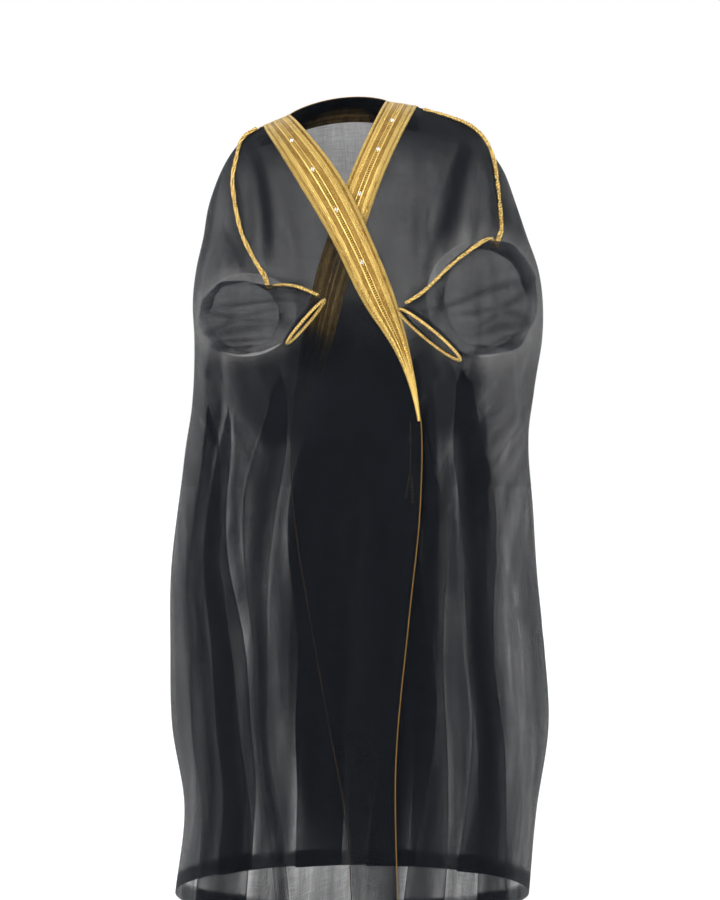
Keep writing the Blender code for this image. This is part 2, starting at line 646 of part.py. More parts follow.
def build():
    for thing in list(bpy.data.objects):
        bpy.data.objects.remove(thing, do_unlink=True)
    cloth = principled("black_cloth", BLACK_CLOTH, 0.7, 0.0)
    band = principled("gold_embroidery", GOLD_BAND, 0.4, 0.6)
    braid = principled("gold_braid", GOLD_BRAID, 0.35, 0.7)
    back_grid, back_normal = panel_grid("back", BACK_FOLDS, (2, 3, 1, 3, 2))
    right_grid, right_normal = panel_grid("right", RIGHT_FOLDS, (3, 3, 3))
    left_grid, left_normal = panel_grid("left", LEFT_FOLDS, (4, 2, 4))
    make_panel("back", back_grid, back_normal, cloth)
    right = make_panel("right_front", right_grid, right_normal, cloth)
    left = make_panel("left_front", left_grid, left_normal, cloth)
    cut_armhole(right, RIGHT_SLEEVE[0])
    cut_armhole(left, LEFT_SLEEVE[0])
    right_tube, left_tube = sleeve_grid("right", RIGHT_SLEEVE), sleeve_grid("left", LEFT_SLEEVE)
    make_sleeve("right_sleeve", right_tube, cloth)
    make_sleeve("left_sleeve", left_tube, cloth)
    long = slice(0, ROWS.index(BAND_END) + 1)
    strips = slice(0, BAND_STRIPS + 1)
    make_band("right_front_band", right_grid[long, strips], right_normal[long, strips], band)
    make_band("left_front_band", left_grid[long, strips], left_normal[long, strips], band)
    short = slice(0, ROWS.index(NECK_BAND_END) + 1)
    round_neck = slice(NECK_BAND_COLUMNS[0], NECK_BAND_COLUMNS[1] + 1)
    make_band("back_neck_band", back_grid[short, round_neck], back_normal[short, round_neck], band)
    make_shoulder_braid("right_shoulder_braid", right_grid, RIGHT_BRAID, right_tube, RIGHT_OVER, braid)
    make_shoulder_braid("left_shoulder_braid", left_grid, LEFT_BRAID, left_tube, LEFT_OVER, braid)
    make_cuff_braid("right_cuff_braid", right_tube, braid)
    make_cuff_braid("left_cuff_braid", left_tube, braid)
    make_edge_cord("right_edge_cord", right_grid, right_normal, braid)
    make_edge_cord("left_edge_cord", left_grid, left_normal, braid)
    make_tie(right_grid, braid)


build()
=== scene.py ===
from collections import namedtuple
import math

import bmesh
import bpy
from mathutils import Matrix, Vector
from mathutils.bvhtree import BVHTree
import numpy as np


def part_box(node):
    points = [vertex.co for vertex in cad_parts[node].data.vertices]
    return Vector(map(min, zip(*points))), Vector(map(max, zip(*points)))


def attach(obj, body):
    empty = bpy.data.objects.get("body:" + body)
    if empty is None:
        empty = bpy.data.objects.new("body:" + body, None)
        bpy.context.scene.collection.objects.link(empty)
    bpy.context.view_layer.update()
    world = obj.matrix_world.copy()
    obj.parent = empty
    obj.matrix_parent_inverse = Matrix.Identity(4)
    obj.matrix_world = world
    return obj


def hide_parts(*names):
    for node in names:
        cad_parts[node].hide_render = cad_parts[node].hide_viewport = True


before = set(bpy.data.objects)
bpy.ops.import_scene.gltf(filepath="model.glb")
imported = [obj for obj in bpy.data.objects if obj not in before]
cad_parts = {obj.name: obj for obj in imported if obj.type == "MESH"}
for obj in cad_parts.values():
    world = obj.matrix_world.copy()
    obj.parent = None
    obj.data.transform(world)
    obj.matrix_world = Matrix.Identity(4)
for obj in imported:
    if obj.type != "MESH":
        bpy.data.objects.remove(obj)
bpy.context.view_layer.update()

bpy.ops.object.select_all(action="DESELECT")

# The eye: a level look from a little over three metres in front, at the height of the wearer's waist.
eye = bpy.data.objects.new("eye", bpy.data.cameras.new("eye"))
bpy.context.collection.objects.link(eye)
eye.data.sensor_fit = "HORIZONTAL"
eye.data.angle = math.radians(22.2)
eye.location = (0.005, -3.3, -0.608)
eye.rotation_euler = (math.radians(90), 0.0, 0.0)
bpy.context.scene.camera = eye
bpy.context.scene.view_settings.view_transform = "Standard"
bpy.context.scene.cycles.transparent_max_bounces = 16


# The cloth: one wide, sheer, finely woven black cloth that falls from the shoulder ridge to the hem, cut
# here as a back and two fronts. Its worn form is a set of rings round the body, from ridge to hem.
def curve(knots, values, at):
    """A smooth curve through given knots, read at one place or many."""
    knots, values = np.asarray(knots, float), np.asarray(values, float)
    slopes = np.gradient(values, knots, axis=0)
    order = np.argsort(knots)
    knots, values, slopes = knots[order], values[order], slopes[order]
    at = np.clip(at, knots[0], knots[-1])
    i = np.clip(np.searchsorted(knots, at, side="right") - 1, 0, len(knots) - 2)
    span = knots[i + 1] - knots[i]
    t = (at - knots[i]) / span
    span, t = (part.reshape(part.shape + (1,) * (values.ndim - 1)) for part in (span, t))
    return ((2 * t**3 - 3 * t**2 + 1) * values[i] + (t**3 - 2 * t**2 + t) * span * slopes[i]
            + (3 * t**2 - 2 * t**3) * values[i + 1] + (t**3 - t**2) * span * slopes[i + 1])


Ring = namedtuple("Ring", "z_mid z_side x_right x_left front back")
RINGS = (
    Ring(0.018, -0.040, -0.203, 0.222, 0.000, 0.000),
    Ring(-0.006, -0.075, -0.229, 0.240, 0.046, 0.060),
    Ring(-0.052, -0.115, -0.249, 0.265, 0.088, 0.100),
    Ring(-0.112, -0.170, -0.267, 0.285, 0.120, 0.125),
    Ring(-0.182, -0.225, -0.276, 0.304, 0.139, 0.138),
    Ring(-0.255, -0.285, -0.289, 0.325, 0.150, 0.142),
    Ring(-0.330, -0.345, -0.295, 0.333, 0.158, 0.142),
    Ring(-0.410, -0.415, -0.292, 0.331, 0.165, 0.142),
    Ring(-0.500, -0.500, -0.294, 0.316, 0.174, 0.146),
    Ring(-0.600, -0.600, -0.304, 0.303, 0.182, 0.152),
    Ring(-0.710, -0.710, -0.321, 0.310, 0.188, 0.160),
    Ring(-0.830, -0.830, -0.334, 0.318, 0.193, 0.168),
    Ring(-0.960, -0.960, -0.335, 0.333, 0.198, 0.178),
    Ring(-1.100, -1.100, -0.332, 0.343, 0.203, 0.187),
    Ring(-1.250, -1.250, -0.310, 0.322, 0.208, 0.195),
    Ring(-1.400, -1.400, -0.326, 0.308, 0.213, 0.203),
)
hem = len(RINGS) - 1
seam = 0.0003

# Front edges: how far across each front reaches, and the width of its band, by height
Edge = namedtuple("Edge", "z x band")
EDGES = {
    "right": (
        Edge(0.000, -0.123, 0.054), Edge(-0.148, -0.021, 0.076), Edge(-0.246, 0.024, 0.067),
        Edge(-0.357, 0.067, 0.056), Edge(-0.440, 0.088, 0.024), Edge(-0.555, 0.105, 0.004),
        Edge(-0.700, 0.104, 0.004), Edge(-0.892, 0.085, 0.004), Edge(-1.130, 0.063, 0.004),
        Edge(-1.400, 0.066, 0.004),
    ),
    "left": (
        Edge(0.021, 0.053, 0.058), Edge(-0.150, -0.019, 0.058), Edge(-0.324, -0.076, 0.058),
        Edge(-0.480, -0.104, 0.040), Edge(-0.570, -0.112, 0.004), Edge(-0.678, -0.111, 0.004),
        Edge(-0.891, -0.080, 0.004), Edge(-1.079, -0.046, 0.004), Edge(-1.250, -0.015, 0.004),
        Edge(-1.400, -0.006, 0.004),
    ),
}
neck_middle, neck_half, neck_back, neck_rise = -0.033, 0.088, 0.070, 0.022
overlap_lift = 0.008
shoulder_tilt = 0.005

# Folds where the cloth doubles back on itself: the ring at which each starts, its places as shares of the
# panel's way round and its overlaps, the widths that lie threefold, at five rings
Fold = namedtuple("Fold", "start places overlaps depth")
FOLDS = {
    "right": (
        Fold(7.3, (0.54, 0.402, 0.453, 0.417, 0.330), (0.000, 0.000, 0.056, 0.022, 0.020), 0.009),
        Fold(7.8, (0.76, 0.730, 0.687, 0.610, 0.571), (0.000, 0.000, 0.034, 0.085, 0.100), 0.010),
    ),
    "left": (
        Fold(7.9, (0.30, 0.360, 0.407, 0.334, 0.240), (0.000, 0.000, 0.030, 0.045, 0.070), 0.009),
        Fold(7.2, (0.55, 0.475, 0.570, 0.508, 0.542), (0.000, 0.000, 0.060, 0.042, 0.055), 0.010),
    ),
    "back": (
        Fold(7.6, (0.20, 0.200, 0.202, 0.232, 0.254), (0.000, 0.000, 0.040, 0.075, 0.080), 0.010),
        Fold(6.3, (0.42, 0.425, 0.427, 0.429, 0.428), (0.000, 0.000, 0.090, 0.100, 0.090), 0.011),
        Fold(6.8, (0.57, 0.575, 0.580, 0.583, 0.580), (0.000, 0.000, 0.090, 0.100, 0.090), 0.011),
        Fold(8.0, (0.78, 0.760, 0.737, 0.743, 0.750), (0.000, 0.000, 0.040, 0.045, 0.055), 0.010),
    ),
}
PLAIN = {"right": (34, 26, 26), "left": (40, 18, 34), "back": (18, 22, 12, 22, 18)}
Turn = namedtuple("Turn", "along out")
FOLD_SECTION = (
    Turn(-0.75, 0.00), Turn(-0.15, 0.55), Turn(0.40, 1.00), Turn(0.50, 0.72), Turn(0.36, 0.42),
    Turn(0.00, 0.00), Turn(-0.36, -0.42), Turn(-0.50, -0.72), Turn(-0.40, -1.00), Turn(0.15, -0.55),
    Turn(0.75, 0.00),
)
fold_columns = 23
flat_share = 0.045


def by_panel(kind, **panels):
    """A table whose rows are grouped by the panel that they lie on."""
    return {panel: [kind(*row) for row in rows] for panel, rows in panels.items()}


# Broad folds that fan out from the shoulders and hang at the elbows
Crease = namedtuple("Crease", "place_top place_low first last width depth")
CREASES = by_panel(Crease, right=(
    (0.55, 0.62, 1.0, 7.5, 0.07, 0.012), (0.80, 0.86, 1.5, 6.5, 0.06, -0.010),
), left=(
    (0.55, 0.48, 1.0, 7.5, 0.07, 0.013), (0.76, 0.62, 1.0, 7.0, 0.06, -0.012),
    (0.90, 0.84, 7.0, 14.0, 0.06, 0.010),
), back=(
    (0.30, 0.24, 1.5, 9.0, 0.05, 0.012), (0.50, 0.50, 2.0, 9.0, 0.05, 0.010),
    (0.70, 0.76, 1.5, 9.0, 0.05, 0.012),
))
# Lesser creases, each from its top end to its low end as seen from the front, with the bow between them
Wrinkle = namedtuple("Wrinkle", "x_top z_top x_low z_low bow width depth")
WRINKLES = by_panel(Wrinkle, right=(
    (-0.232, -0.090, -0.201, -0.300, -0.008, 0.010, -0.007),
    (-0.246, -0.200, -0.205, -0.310, -0.006, 0.009, -0.006),
    (-0.190, -0.060, -0.176, -0.300, 0.010, 0.014, 0.006),
    (-0.160, -0.040, -0.090, -0.300, 0.012, 0.016, 0.006),
    (-0.278, -0.430, -0.222, -0.620, 0.006, 0.010, 0.008),
    (-0.262, -0.440, -0.205, -0.660, 0.004, 0.008, -0.006),
    (-0.150, -0.500, -0.275, -0.900, -0.012, 0.012, 0.008),
    (-0.120, -0.490, -0.211, -0.880, -0.010, 0.012, -0.007),
    (-0.300, -0.520, -0.306, -0.980, -0.010, 0.014, 0.007),
    (-0.295, -0.700, -0.290, -1.330, 0.006, 0.012, -0.007),
    (-0.255, -0.880, -0.250, -1.380, -0.006, 0.012, 0.007),
    (-0.160, -0.700, -0.140, -1.390, 0.006, 0.014, 0.006),
    (-0.060, -0.520, -0.070, -1.200, 0.004, 0.012, 0.004),
    (0.020, -0.560, 0.005, -1.380, 0.004, 0.014, 0.005),
), left=(
    (0.205, -0.050, 0.155, -0.300, 0.006, 0.012, 0.008),
    (0.190, -0.045, 0.115, -0.280, 0.006, 0.013, -0.007),
    (0.215, -0.050, 0.190, -0.290, -0.004, 0.009, -0.007),
    (0.150, -0.035, 0.075, -0.270, 0.010, 0.016, 0.005),
    (0.245, -0.070, 0.262, -0.240, -0.006, 0.010, -0.006),
    (0.232, -0.440, 0.250, -0.680, 0.004, 0.010, -0.009),
    (0.270, -0.420, 0.283, -0.580, 0.010, 0.010, 0.008),
    (0.312, -0.420, 0.290, -0.600, 0.006, 0.009, -0.006),
    (0.220, -0.730, 0.248, -0.830, 0.004, 0.007, 0.008),
    (0.228, -0.740, 0.262, -0.860, 0.006, 0.006, -0.006),
    (0.242, -0.880, 0.318, -0.960, -0.022, 0.009, -0.008),
    (0.140, -0.600, 0.146, -0.890, -0.004, 0.010, 0.006),
    (0.170, -0.620, 0.172, -1.300, 0.004, 0.014, 0.006),
    (0.262, -0.640, 0.286, -1.300, 0.010, 0.014, 0.007),
    (0.300, -0.960, 0.296, -1.380, -0.006, 0.011, -0.006),
), back=(
    (-0.210, -0.080, -0.170, -0.520, 0.010, 0.014, -0.007),
    (-0.120, -0.060, -0.105, -0.480, 0.006, 0.013, 0.006),
    (0.010, -0.060, 0.004, -0.460, 0.004, 0.014, -0.006),
    (0.120, -0.070, 0.105, -0.500, -0.006, 0.014, 0.007),
    (0.220, -0.110, 0.190, -0.560, -0.010, 0.013, -0.008),
    (-0.270, -0.300, -0.262, -1.020, -0.008, 0.013, 0.008),
    (0.292, -0.320, 0.290, -1.100, 0.008, 0.013, -0.008),
    (-0.090, -0.620, -0.110, -1.380, 0.006, 0.013, -0.007),
    (0.090, -0.560, 0.120, -1.390, -0.006, 0.014, 0.007),
    (0.010, -0.780, -0.006, -1.390, 0.005, 0.012, -0.006),
))
# Darker strips beside the braids and above the forearms, painted shade of the creases there: here the depth
# is the layers they add
PAINTED_CREASE_SHADE = by_panel(Wrinkle, right=(
    (-0.192, -0.050, -0.156, -0.300, -0.014, 0.009, 2.0),
    (-0.226, -0.090, -0.196, -0.310, -0.008, 0.008, 0.9),
    (-0.205, -0.290, -0.075, -0.335, 0.004, 0.010, 1.4),
    (-0.245, -0.210, -0.190, -0.320, -0.006, 0.007, 0.8),
), left=(
    (0.205, -0.030, 0.148, -0.315, 0.004, 0.013, 1.6), (0.228, -0.055, 0.240, -0.250, -0.006, 0.009, 1.5),
    (0.262, -0.225, 0.070, -0.370, 0.002, 0.012, 1.7), (0.180, -0.150, 0.105, -0.345, 0.004, 0.010, 1.0),
    (0.275, -0.090, 0.285, -0.260, -0.008, 0.009, 0.6),
))
# Places where the cloth hangs in pleats too fine to lay one by one, and how many layers they add. Part of
# this darkness is painted shade: the shadow under the forearms, and the shade down the middle below the
# hands.
BunchShade = namedtuple("BunchShade", "x z half_x half_z extra")
BUNCHES_AND_PAINTED_SHADE = by_panel(BunchShade, right=(
    (-0.130, -0.485, 0.110, 0.130, 1.3), (0.000, -0.900, 0.135, 0.560, 0.2),
    (-0.060, -0.500, 0.130, 0.110, 0.5), (-0.250, -0.500, 0.020, 0.110, 0.8),
    (0.080, -0.600, 0.060, 0.200, 0.5),
), left=(
    (0.145, -0.480, 0.085, 0.125, 1.3), (0.060, -0.900, 0.095, 0.560, 0.3),
    (0.125, -0.640, 0.014, 0.170, 1.6), (0.218, -0.640, 0.010, 0.120, 1.2),
), back=(
    (-0.005, -0.930, 0.155, 0.520, 2.2), (0.010, -0.560, 0.150, 0.180, 1.6),
    (0.000, -0.420, 0.100, 0.110, 1.0),
))


def smooth(value):
    value = np.clip(value, 0.0, 1.0)
    return value * value * (3.0 - 2.0 * value)


def worn(rows):
    """The form's sizes at each row, as columns to work out a grid with."""
    numbers = range(len(RINGS))
    return Ring(*(curve(numbers, [getattr(ring, name) for ring in RINGS], rows)[:, None]
                  for name in Ring._fields))


def middle_and_half(ring):
    """The middle of the form from side to side, and half of its width."""
    return (ring.x_left + ring.x_right) / 2, (ring.x_left - ring.x_right) / 2


def edge_angles(panel, rows):
    """Angle at which a front ends at each row, from the height of the cloth there."""
    ring = worn(rows)
    middle, half = middle_and_half(ring)
    z = ring.z_mid
    for _ in range(6):
        x = curve([e.z for e in EDGES[panel]], [e.x for e in EDGES[panel]], z)
        cosine = np.clip((x - middle) / half, -1.0, 1.0)
        z = ring.z_mid + (ring.z_side - ring.z_mid) * cosine**2
    return np.arccos(cosine)


def span(panel, rows):
    """Angles of a panel's first and last edge at each row."""
    side = np.full((len(rows), 1), math.pi if panel != "left" else 0.0)
    if panel == "back":
        return side, side + math.pi
    return edge_angles(panel, rows), side


def along_lines(table, panel, x, z):
    """What a panel's lines add at places on it: each fades out to both sides and at both ends."""
    lift = np.zeros_like(x)
    for w in table.get(panel, ()):
        way = np.array((w.x_low - w.x_top, w.z_low - w.z_top))
        length = np.hypot(*way)
        share = ((x - w.x_top) * way[0] + (z - w.z_top) * way[1]) / length**2
        off = ((x - w.x_top) * way[1] - (z - w.z_top) * way[0]) / length
        off = off - w.bow * 4.0 * share * (1.0 - share)
        ends = smooth(share / 0.3) * smooth((1.0 - share) / 0.3)
        lift += w.depth * np.exp(-(off / w.width)**2) * ends
    return lift


def surface(panel, rows, angles, lift=0.0):
    """Points of a panel's outer face at the given rows and angles, with its creases, and a smooth outward
    direction for each."""
    ring = worn(rows)
    first, last = span(panel, rows)
    middle, half = middle_and_half(ring)
    depth = ring.back if panel == "back" else ring.front
    row = rows[:, None]
    cosine, sine = np.cos(angles), np.abs(np.sin(angles))
    x = middle + half * cosine
    y = seam / 2 + depth * sine
    z = ring.z_mid + (ring.z_side - ring.z_mid) * cosine**2
    z = z + shoulder_tilt * cosine * smooth(1.0 - row / 6.0)
    outward = np.stack((np.maximum(depth, 0.02) * cosine, half * sine, np.zeros_like(x)), axis=2)
    outward /= np.linalg.norm(outward, axis=2, keepdims=True)
    fade = smooth(row / 2.5)
    if panel == "right":
        lift = lift + overlap_lift * fade * smooth((x + 0.20) / 0.10)
    if panel == "left":
        lift = lift - overlap_lift * fade * smooth((0.22 - x) / 0.10)
    place = (angles - first) / (last - first)
    edge_fade = smooth(place / 0.08) * smooth((1.0 - place) / 0.08)
    for crease in CREASES[panel]:
        share = np.clip((row - crease.first) / (crease.last - crease.first), 0.0, 1.0)
        centre = crease.place_top + (crease.place_low - crease.place_top) * share
        bell = np.exp(-((place - centre) / crease.width)**2)
        lift = lift + crease.depth * bell * np.sin(math.pi * share) * edge_fade
    lift = lift + along_lines(WRINKLES, panel, x, z) * smooth(place / 0.16) * smooth((1.0 - place) / 0.05)
    if panel == "back":
        across = np.clip((x - neck_middle) / neck_half, -1.0, 1.0)
        neck = np.sqrt(1.0 - across**2) * smooth(1.0 - row / 3.0)
        y = y + neck_back * neck * (1.0 - smooth(row / 3.0))
        z = z + neck_rise * neck
    else:
        y = -y
        outward = outward * (1, -1, 1)
    points = np.stack((x, y, z), axis=2) + outward * np.broadcast_to(lift, x.shape)[..., None]
    return points, outward


def band_angle(panel, rows):
    """Angle that the band takes up from the front's edge at each row."""
    first = edge_angles(panel, rows)
    ring = worn(rows)
    z = surface(panel, rows, first)[0][..., 2]
    width = curve([e.z for e in EDGES[panel]], [e.band for e in EDGES[panel]], z)
    return width / np.maximum(middle_and_half(ring)[1] * np.sin(first), 0.05)


def hang(panel, rows):
    """A panel's grid of points: plain stretches between its folds, and each fold's doubled section. With it
    come its outward directions and its veil, which softens the folds' dark bands at their sides."""
    first, last = span(panel, rows)
    ring = worn(rows)
    half = middle_and_half(ring)[1]
    depth = ring.back if panel == "back" else ring.front
    sign = 1.0 if panel != "left" else -1.0
    steps = np.linspace(0.0, len(FOLD_SECTION) - 1.0, fold_columns)
    along = curve(range(len(FOLD_SECTION)), [turn.along for turn in FOLD_SECTION], steps)
    out = curve(range(len(FOLD_SECTION)), [turn.out for turn in FOLD_SECTION], steps)
    flat = np.linspace(-1.0, 1.0, fold_columns)
    edge = np.abs(along) > 0.5
    veil = np.where(edge, 1.5, 0.55 + 0.40 * np.cos(math.pi * np.clip(along, -0.5, 0.5))**2)
    marks = []
    for fold in FOLDS[panel]:
        rings = (0, fold.start, 9.6, 12, hem)
        sway = 0.008 * np.sin(1.7 * rows + 9.0 * fold.start) * smooth((rows - 7.0) / 3.0)
        centre = first + (last - first) * (curve(rings, fold.places, rows) + sway)[:, None]
        overlap = np.maximum(curve(rings, fold.overlaps, rows), 0.0)[:, None]
        doubled = smooth(overlap / 0.02)
        speed = np.maximum(np.hypot(half * np.sin(centre), depth * np.cos(centre)), 0.06)
        room = np.abs(last - first) * flat_share
        angle = centre + sign * (flat * room * (1.0 - doubled) + doubled * along * overlap / speed)
        marks.append((angle, out * fold.depth * doubled, 1.0 + (veil - 1.0) * doubled, speed))
    columns = []
    start = first
    for count, mark in zip(PLAIN[panel], marks + [None]):
        end = mark[0][:, :1] if mark else last
        plain = start + (end - start) * (np.arange(count) / count)
        beside = np.ones_like(plain)
        for other in marks:
            for side in (other[0][:, :1], other[0][:, -1:]):
                off = np.abs(plain - side) * other[3]
                beside += (other[2][:, :1] - 1.0) * np.exp(-off / 0.020)
        columns.append((plain, np.zeros_like(plain), beside))
        if mark:
            columns.append([part[:, :-1] for part in mark[:3]])
            start = mark[0][:, -1:]
    columns.append((last, np.zeros_like(last), np.ones_like(last)))
    angles, lifts, veils = (np.hstack(parts) for parts in zip(*columns))
    return (*surface(panel, rows, angles, lifts), veils)


def grid_normals(grid, closed=False):
    down = np.gradient(grid, axis=0)
    if closed:
        across = np.roll(grid, -1, axis=1) - np.roll(grid, 1, axis=1)
    else:
        across = np.gradient(grid, axis=1)
    normal = np.cross(across, down)
    return normal / np.maximum(np.linalg.norm(normal, axis=2, keepdims=True), 1e-9)


def piece_from(name, points, quads, uv=None, marks=None, material=None):
    """A smooth-shaded mesh from points and four-cornered faces, with its cloth map and marks."""
    mesh = bpy.data.meshes.new(name)
    mesh.from_pydata(points.reshape(-1, 3).tolist(), [], quads.tolist())
    corners = np.empty(len(mesh.loops), np.int32)
    mesh.loops.foreach_get("vertex_index", corners)
    if uv is not None:
        layer = mesh.uv_layers.new(name="cloth")
        layer.data.foreach_set("uv", uv.reshape(-1, 2)[corners].astype(np.float32).ravel())
    for mark, values in (marks or {}).items():
        layer = mesh.attributes.new(mark, "FLOAT", "POINT")
        layer.data.foreach_set("value", np.asarray(values, np.float32).ravel())
    mesh.shade_smooth()
    thing = bpy.data.objects.new(name, mesh)
    bpy.context.collection.objects.link(thing)
    if material:
        mesh.materials.append(material)
    return thing


def quads_of(rows, columns, closed=False):
    r, c = np.meshgrid(np.arange(rows - 1), np.arange(columns if closed else columns - 1), indexing="ij")
    d = (c + 1) % columns
    return np.stack((r * columns + c, r * columns + d, (r + 1) * columns + d, (r + 1) * columns + c),
                    axis=2).reshape(-1, 4)


def cloth_map(grid):
    """Metres across and down the cloth at each point of a grid."""
    across = np.linalg.norm(np.diff(grid, axis=1), axis=2)
    down = np.linalg.norm(np.diff(grid, axis=0), axis=2)
    u = np.concatenate((np.zeros((len(grid), 1)), np.cumsum(across, axis=1)), axis=1)
    v = np.concatenate((np.zeros((1, grid.shape[1])), np.cumsum(down, axis=0)), axis=0)
    return np.stack((u - u[:, -1:] / 2, v), axis=2)


def thicken(thing, thickness):
    """Gives a sheet its thickness, inwards from its outer face, and closes its edges."""
    wall = thing.modifiers.new("wall", "SOLIDIFY")
    wall.thickness = thickness
    wall.offset = -1.0
    wall.use_rim = True
    bpy.context.view_layer.objects.active = thing
    thing.select_set(True)
    bpy.ops.object.modifier_apply(modifier=wall.name)
    thing.select_set(False)


# The shaders of the cloth and of the gold thread are written as sums on wires.
class Wire:
    """One value inside a material. Sums written with it add Math nodes, and `node` adds any other node."""

    def __init__(self, tree, socket=None):
        self.tree, self.socket = tree, socket

    def node(self, kind, settings=None, inputs=None, output=0):
        made = self.tree.nodes.new(kind)
        for name, value in (settings or {}).items():
            setattr(made, name, value)
        for name, value in (inputs or {}).items():
            if isinstance(value, Wire):
                self.tree.links.new(value.socket, made.inputs[name])
            else:
                made.inputs[name].default_value = value
        return Wire(self.tree, made.outputs[output])

    def maths(self, operation, *values):
        return self.node("ShaderNodeMath", {"operation": operation}, dict(enumerate(values)))

    def __add__(self, other):
        return self.maths("ADD", self, other)

    def __sub__(self, other):
        return self.maths("SUBTRACT", self, other)

    def __rsub__(self, other):
        return self.maths("SUBTRACT", other, self)

    def __mul__(self, other):
        return self.maths("MULTIPLY", self, other)

    def __rpow__(self, other):
        return self.maths("POWER", other, self)

    __radd__, __rmul__ = __add__, __mul__

    def wave(self, turns):
        return self.maths("SINE", self * (turns * 2.0 * math.pi)) * 0.5 + 0.5

    def kept(self, low, high):
        return self.maths("MINIMUM", self.maths("MAXIMUM", self, low), high)

    def noise(self, at, across, down, detail=2.0):
        place = self.node("ShaderNodeMapping", {}, {"Vector": at, "Scale": (across, down, 1.0)})
        return self.node("ShaderNodeTexNoise", {}, {"Vector": place, "Scale": 1.0, "Detail": detail,
                                                   "Roughness": 0.55})

    def blend(self, low, high):
        return self.node("ShaderNodeMix", {"data_type": "RGBA"}, {0: self, 6: low, 7: high}, 2)

    def bump(self, height):
        return self.node("ShaderNodeBump", {}, {"Height": self, "Strength": 1.0, "Distance": height})


def finish_named(name, **sockets):
    """A new material, the wire to write it with, and its shader."""
    material = bpy.data.materials.new(name)
    material.use_nodes = True
    shader = material.node_tree.nodes["Principled BSDF"]
    for socket, value in sockets.items():
        shader.inputs[socket.replace("_", " ")].default_value = value
    return material, Wire(material.node_tree), shader


clear_through_one = 0.545
yarns_per_metre = 1100.0


def sheer_black():
    """Fine plain weave of black yarn with uneven slubs; what shows behind it comes through."""
    cloth, wire, shader = finish_named("black_sheer_cloth", Roughness=0.62, Specular_IOR_Level=0.06,
                                       Sheen_Weight=0.04, Sheen_Roughness=0.45,
                                       Sheen_Tint=(0.62, 0.70, 0.82, 1.0))
    at = wire.node("ShaderNodeUVMap", {"uv_map": "cloth"})
    place = wire.node("ShaderNodeSeparateXYZ", {}, {0: at})
    down = Wire(wire.tree, place.socket.node.outputs[1])
    # Layer count, which also carries painted shade from the bunches, the crease strips and the sleeves'
    # creases; more layers let less through.
    density = wire.node("ShaderNodeAttribute", {"attribute_name": "layers_and_painted_shade"}, output=2)
    slubs = wire.noise(at, 34.0, 420.0, 2.0) - 0.5
    yarns = wire.noise(at, 420.0, 34.0, 2.0) - 0.5
    clouds = wire.noise(at, 14.0, 9.0, 1.0) - 0.5
    pleats = (wire.noise(at, 34.0, 1.6, 2.0) - 0.5) * ((down - 0.38) * 4.0).kept(0.25, 1.0)
    weave = place.wave(yarns_per_metre) * down.wave(yarns_per_metre)
    layers = density * (1.0 + slubs * 0.5 + yarns * 0.5 + clouds * 0.4 + pleats * 1.5)
    clear = clear_through_one ** layers
    alpha = (1.0 - clear).kept(0.0, 1.0)
    tree = wire.tree
    tree.links.new(alpha.socket, shader.inputs["Alpha"])
    tone = (0.5 + slubs + yarns).kept(0.0, 1.0)
    colour = tone.blend((0.0016, 0.0020, 0.0029, 1.0), (0.0078, 0.0098, 0.0140, 1.0))
    tree.links.new(colour.socket, shader.inputs["Base Color"])
    relief = (weave * 0.5 + slubs + yarns).bump(0.0002)
    tree.links.new(relief.socket, shader.inputs["Normal"])
    return cloth


hem_layers, hem_rows, most_layers = 2.6, 3, 2.6


def layers_and_shade_of(panel, grid, outward, veil):
    """How many layers thick the cloth counts: more where it turns away or hangs bunched, and at its hem. The
    bunches also hold painted shade under the forearms and down the middle, and the crease strips beside the
    braids and above the forearms are painted shade.
    """
    lean = np.abs(np.sum(grid_normals(grid) * outward, axis=2))
    layers = np.where(veil == 1.0, np.clip(np.maximum(lean, 0.3)**-2.0, 1.0, most_layers), 1.0) * veil
    # Bunched pleats, partly painted shade under the forearms and down the middle
    for bunch_shade in BUNCHES_AND_PAINTED_SHADE[panel]:
        aside, above = (grid[..., 0] - bunch_shade.x) / bunch_shade.half_x, (grid[..., 2] - bunch_shade.z) / bunch_shade.half_z
        layers += bunch_shade.extra * smooth((1.0 - np.hypot(aside, above)) / 0.4)
    # Painted shade in the creases beside the braids and above the forearms
    layers += along_lines(PAINTED_CREASE_SHADE, panel, grid[..., 0], grid[..., 2])
    layers[-hem_rows:] = hem_layers
    return layers


cloth_thickness = 0.0006
panel_row_count = 206
black_cloth = sheer_black()
PANEL_NODES = {"back": "back", "right": "right_front", "left": "left_front"}
panel_rows = np.linspace(0.0, hem, panel_row_count)
Armhole = namedtuple("Armhole", "x z half_x half_z")
flare = 0.016
ARMHOLES = {
    "right": Armhole(-0.191, -0.374, 0.071, 0.056),
    "left": Armhole(0.2165, -0.346, 0.0815, 0.084),
}


def skin(grid, closed=False):
    quads = quads_of(*grid.shape[:2], closed)
    return BVHTree.FromPolygons(grid.reshape(-1, 3).tolist(), quads.tolist())


def cut_armhole(grid, quads, outer, hole):
    """Takes the cloth out of the armhole; the cells that its outline crosses are drawn in to it."""
    points = grid.reshape(-1, 3).copy()
    half = np.array((hole.half_x + flare + seam, hole.half_z + flare + seam))
    away = (points[:, (0, 2)] - (hole.x, hole.z)) / half
    reach = np.linalg.norm(away, axis=1)
    inside = (reach < 1.0) & (points[:, 1] < 0.0)
    kept = quads[~inside[quads].all(axis=1)]
    for k in np.unique(kept[inside[kept]]):
        x, z = (hole.x, hole.z) + away[k] / max(reach[k], 1e-6) * half
        hit = outer.ray_cast((x, -1.0, z), (0.0, 1.0, 0.0))[0]
        points[k] = hit if hit else (x, points[k, 1], z)
    return points.reshape(grid.shape), kept


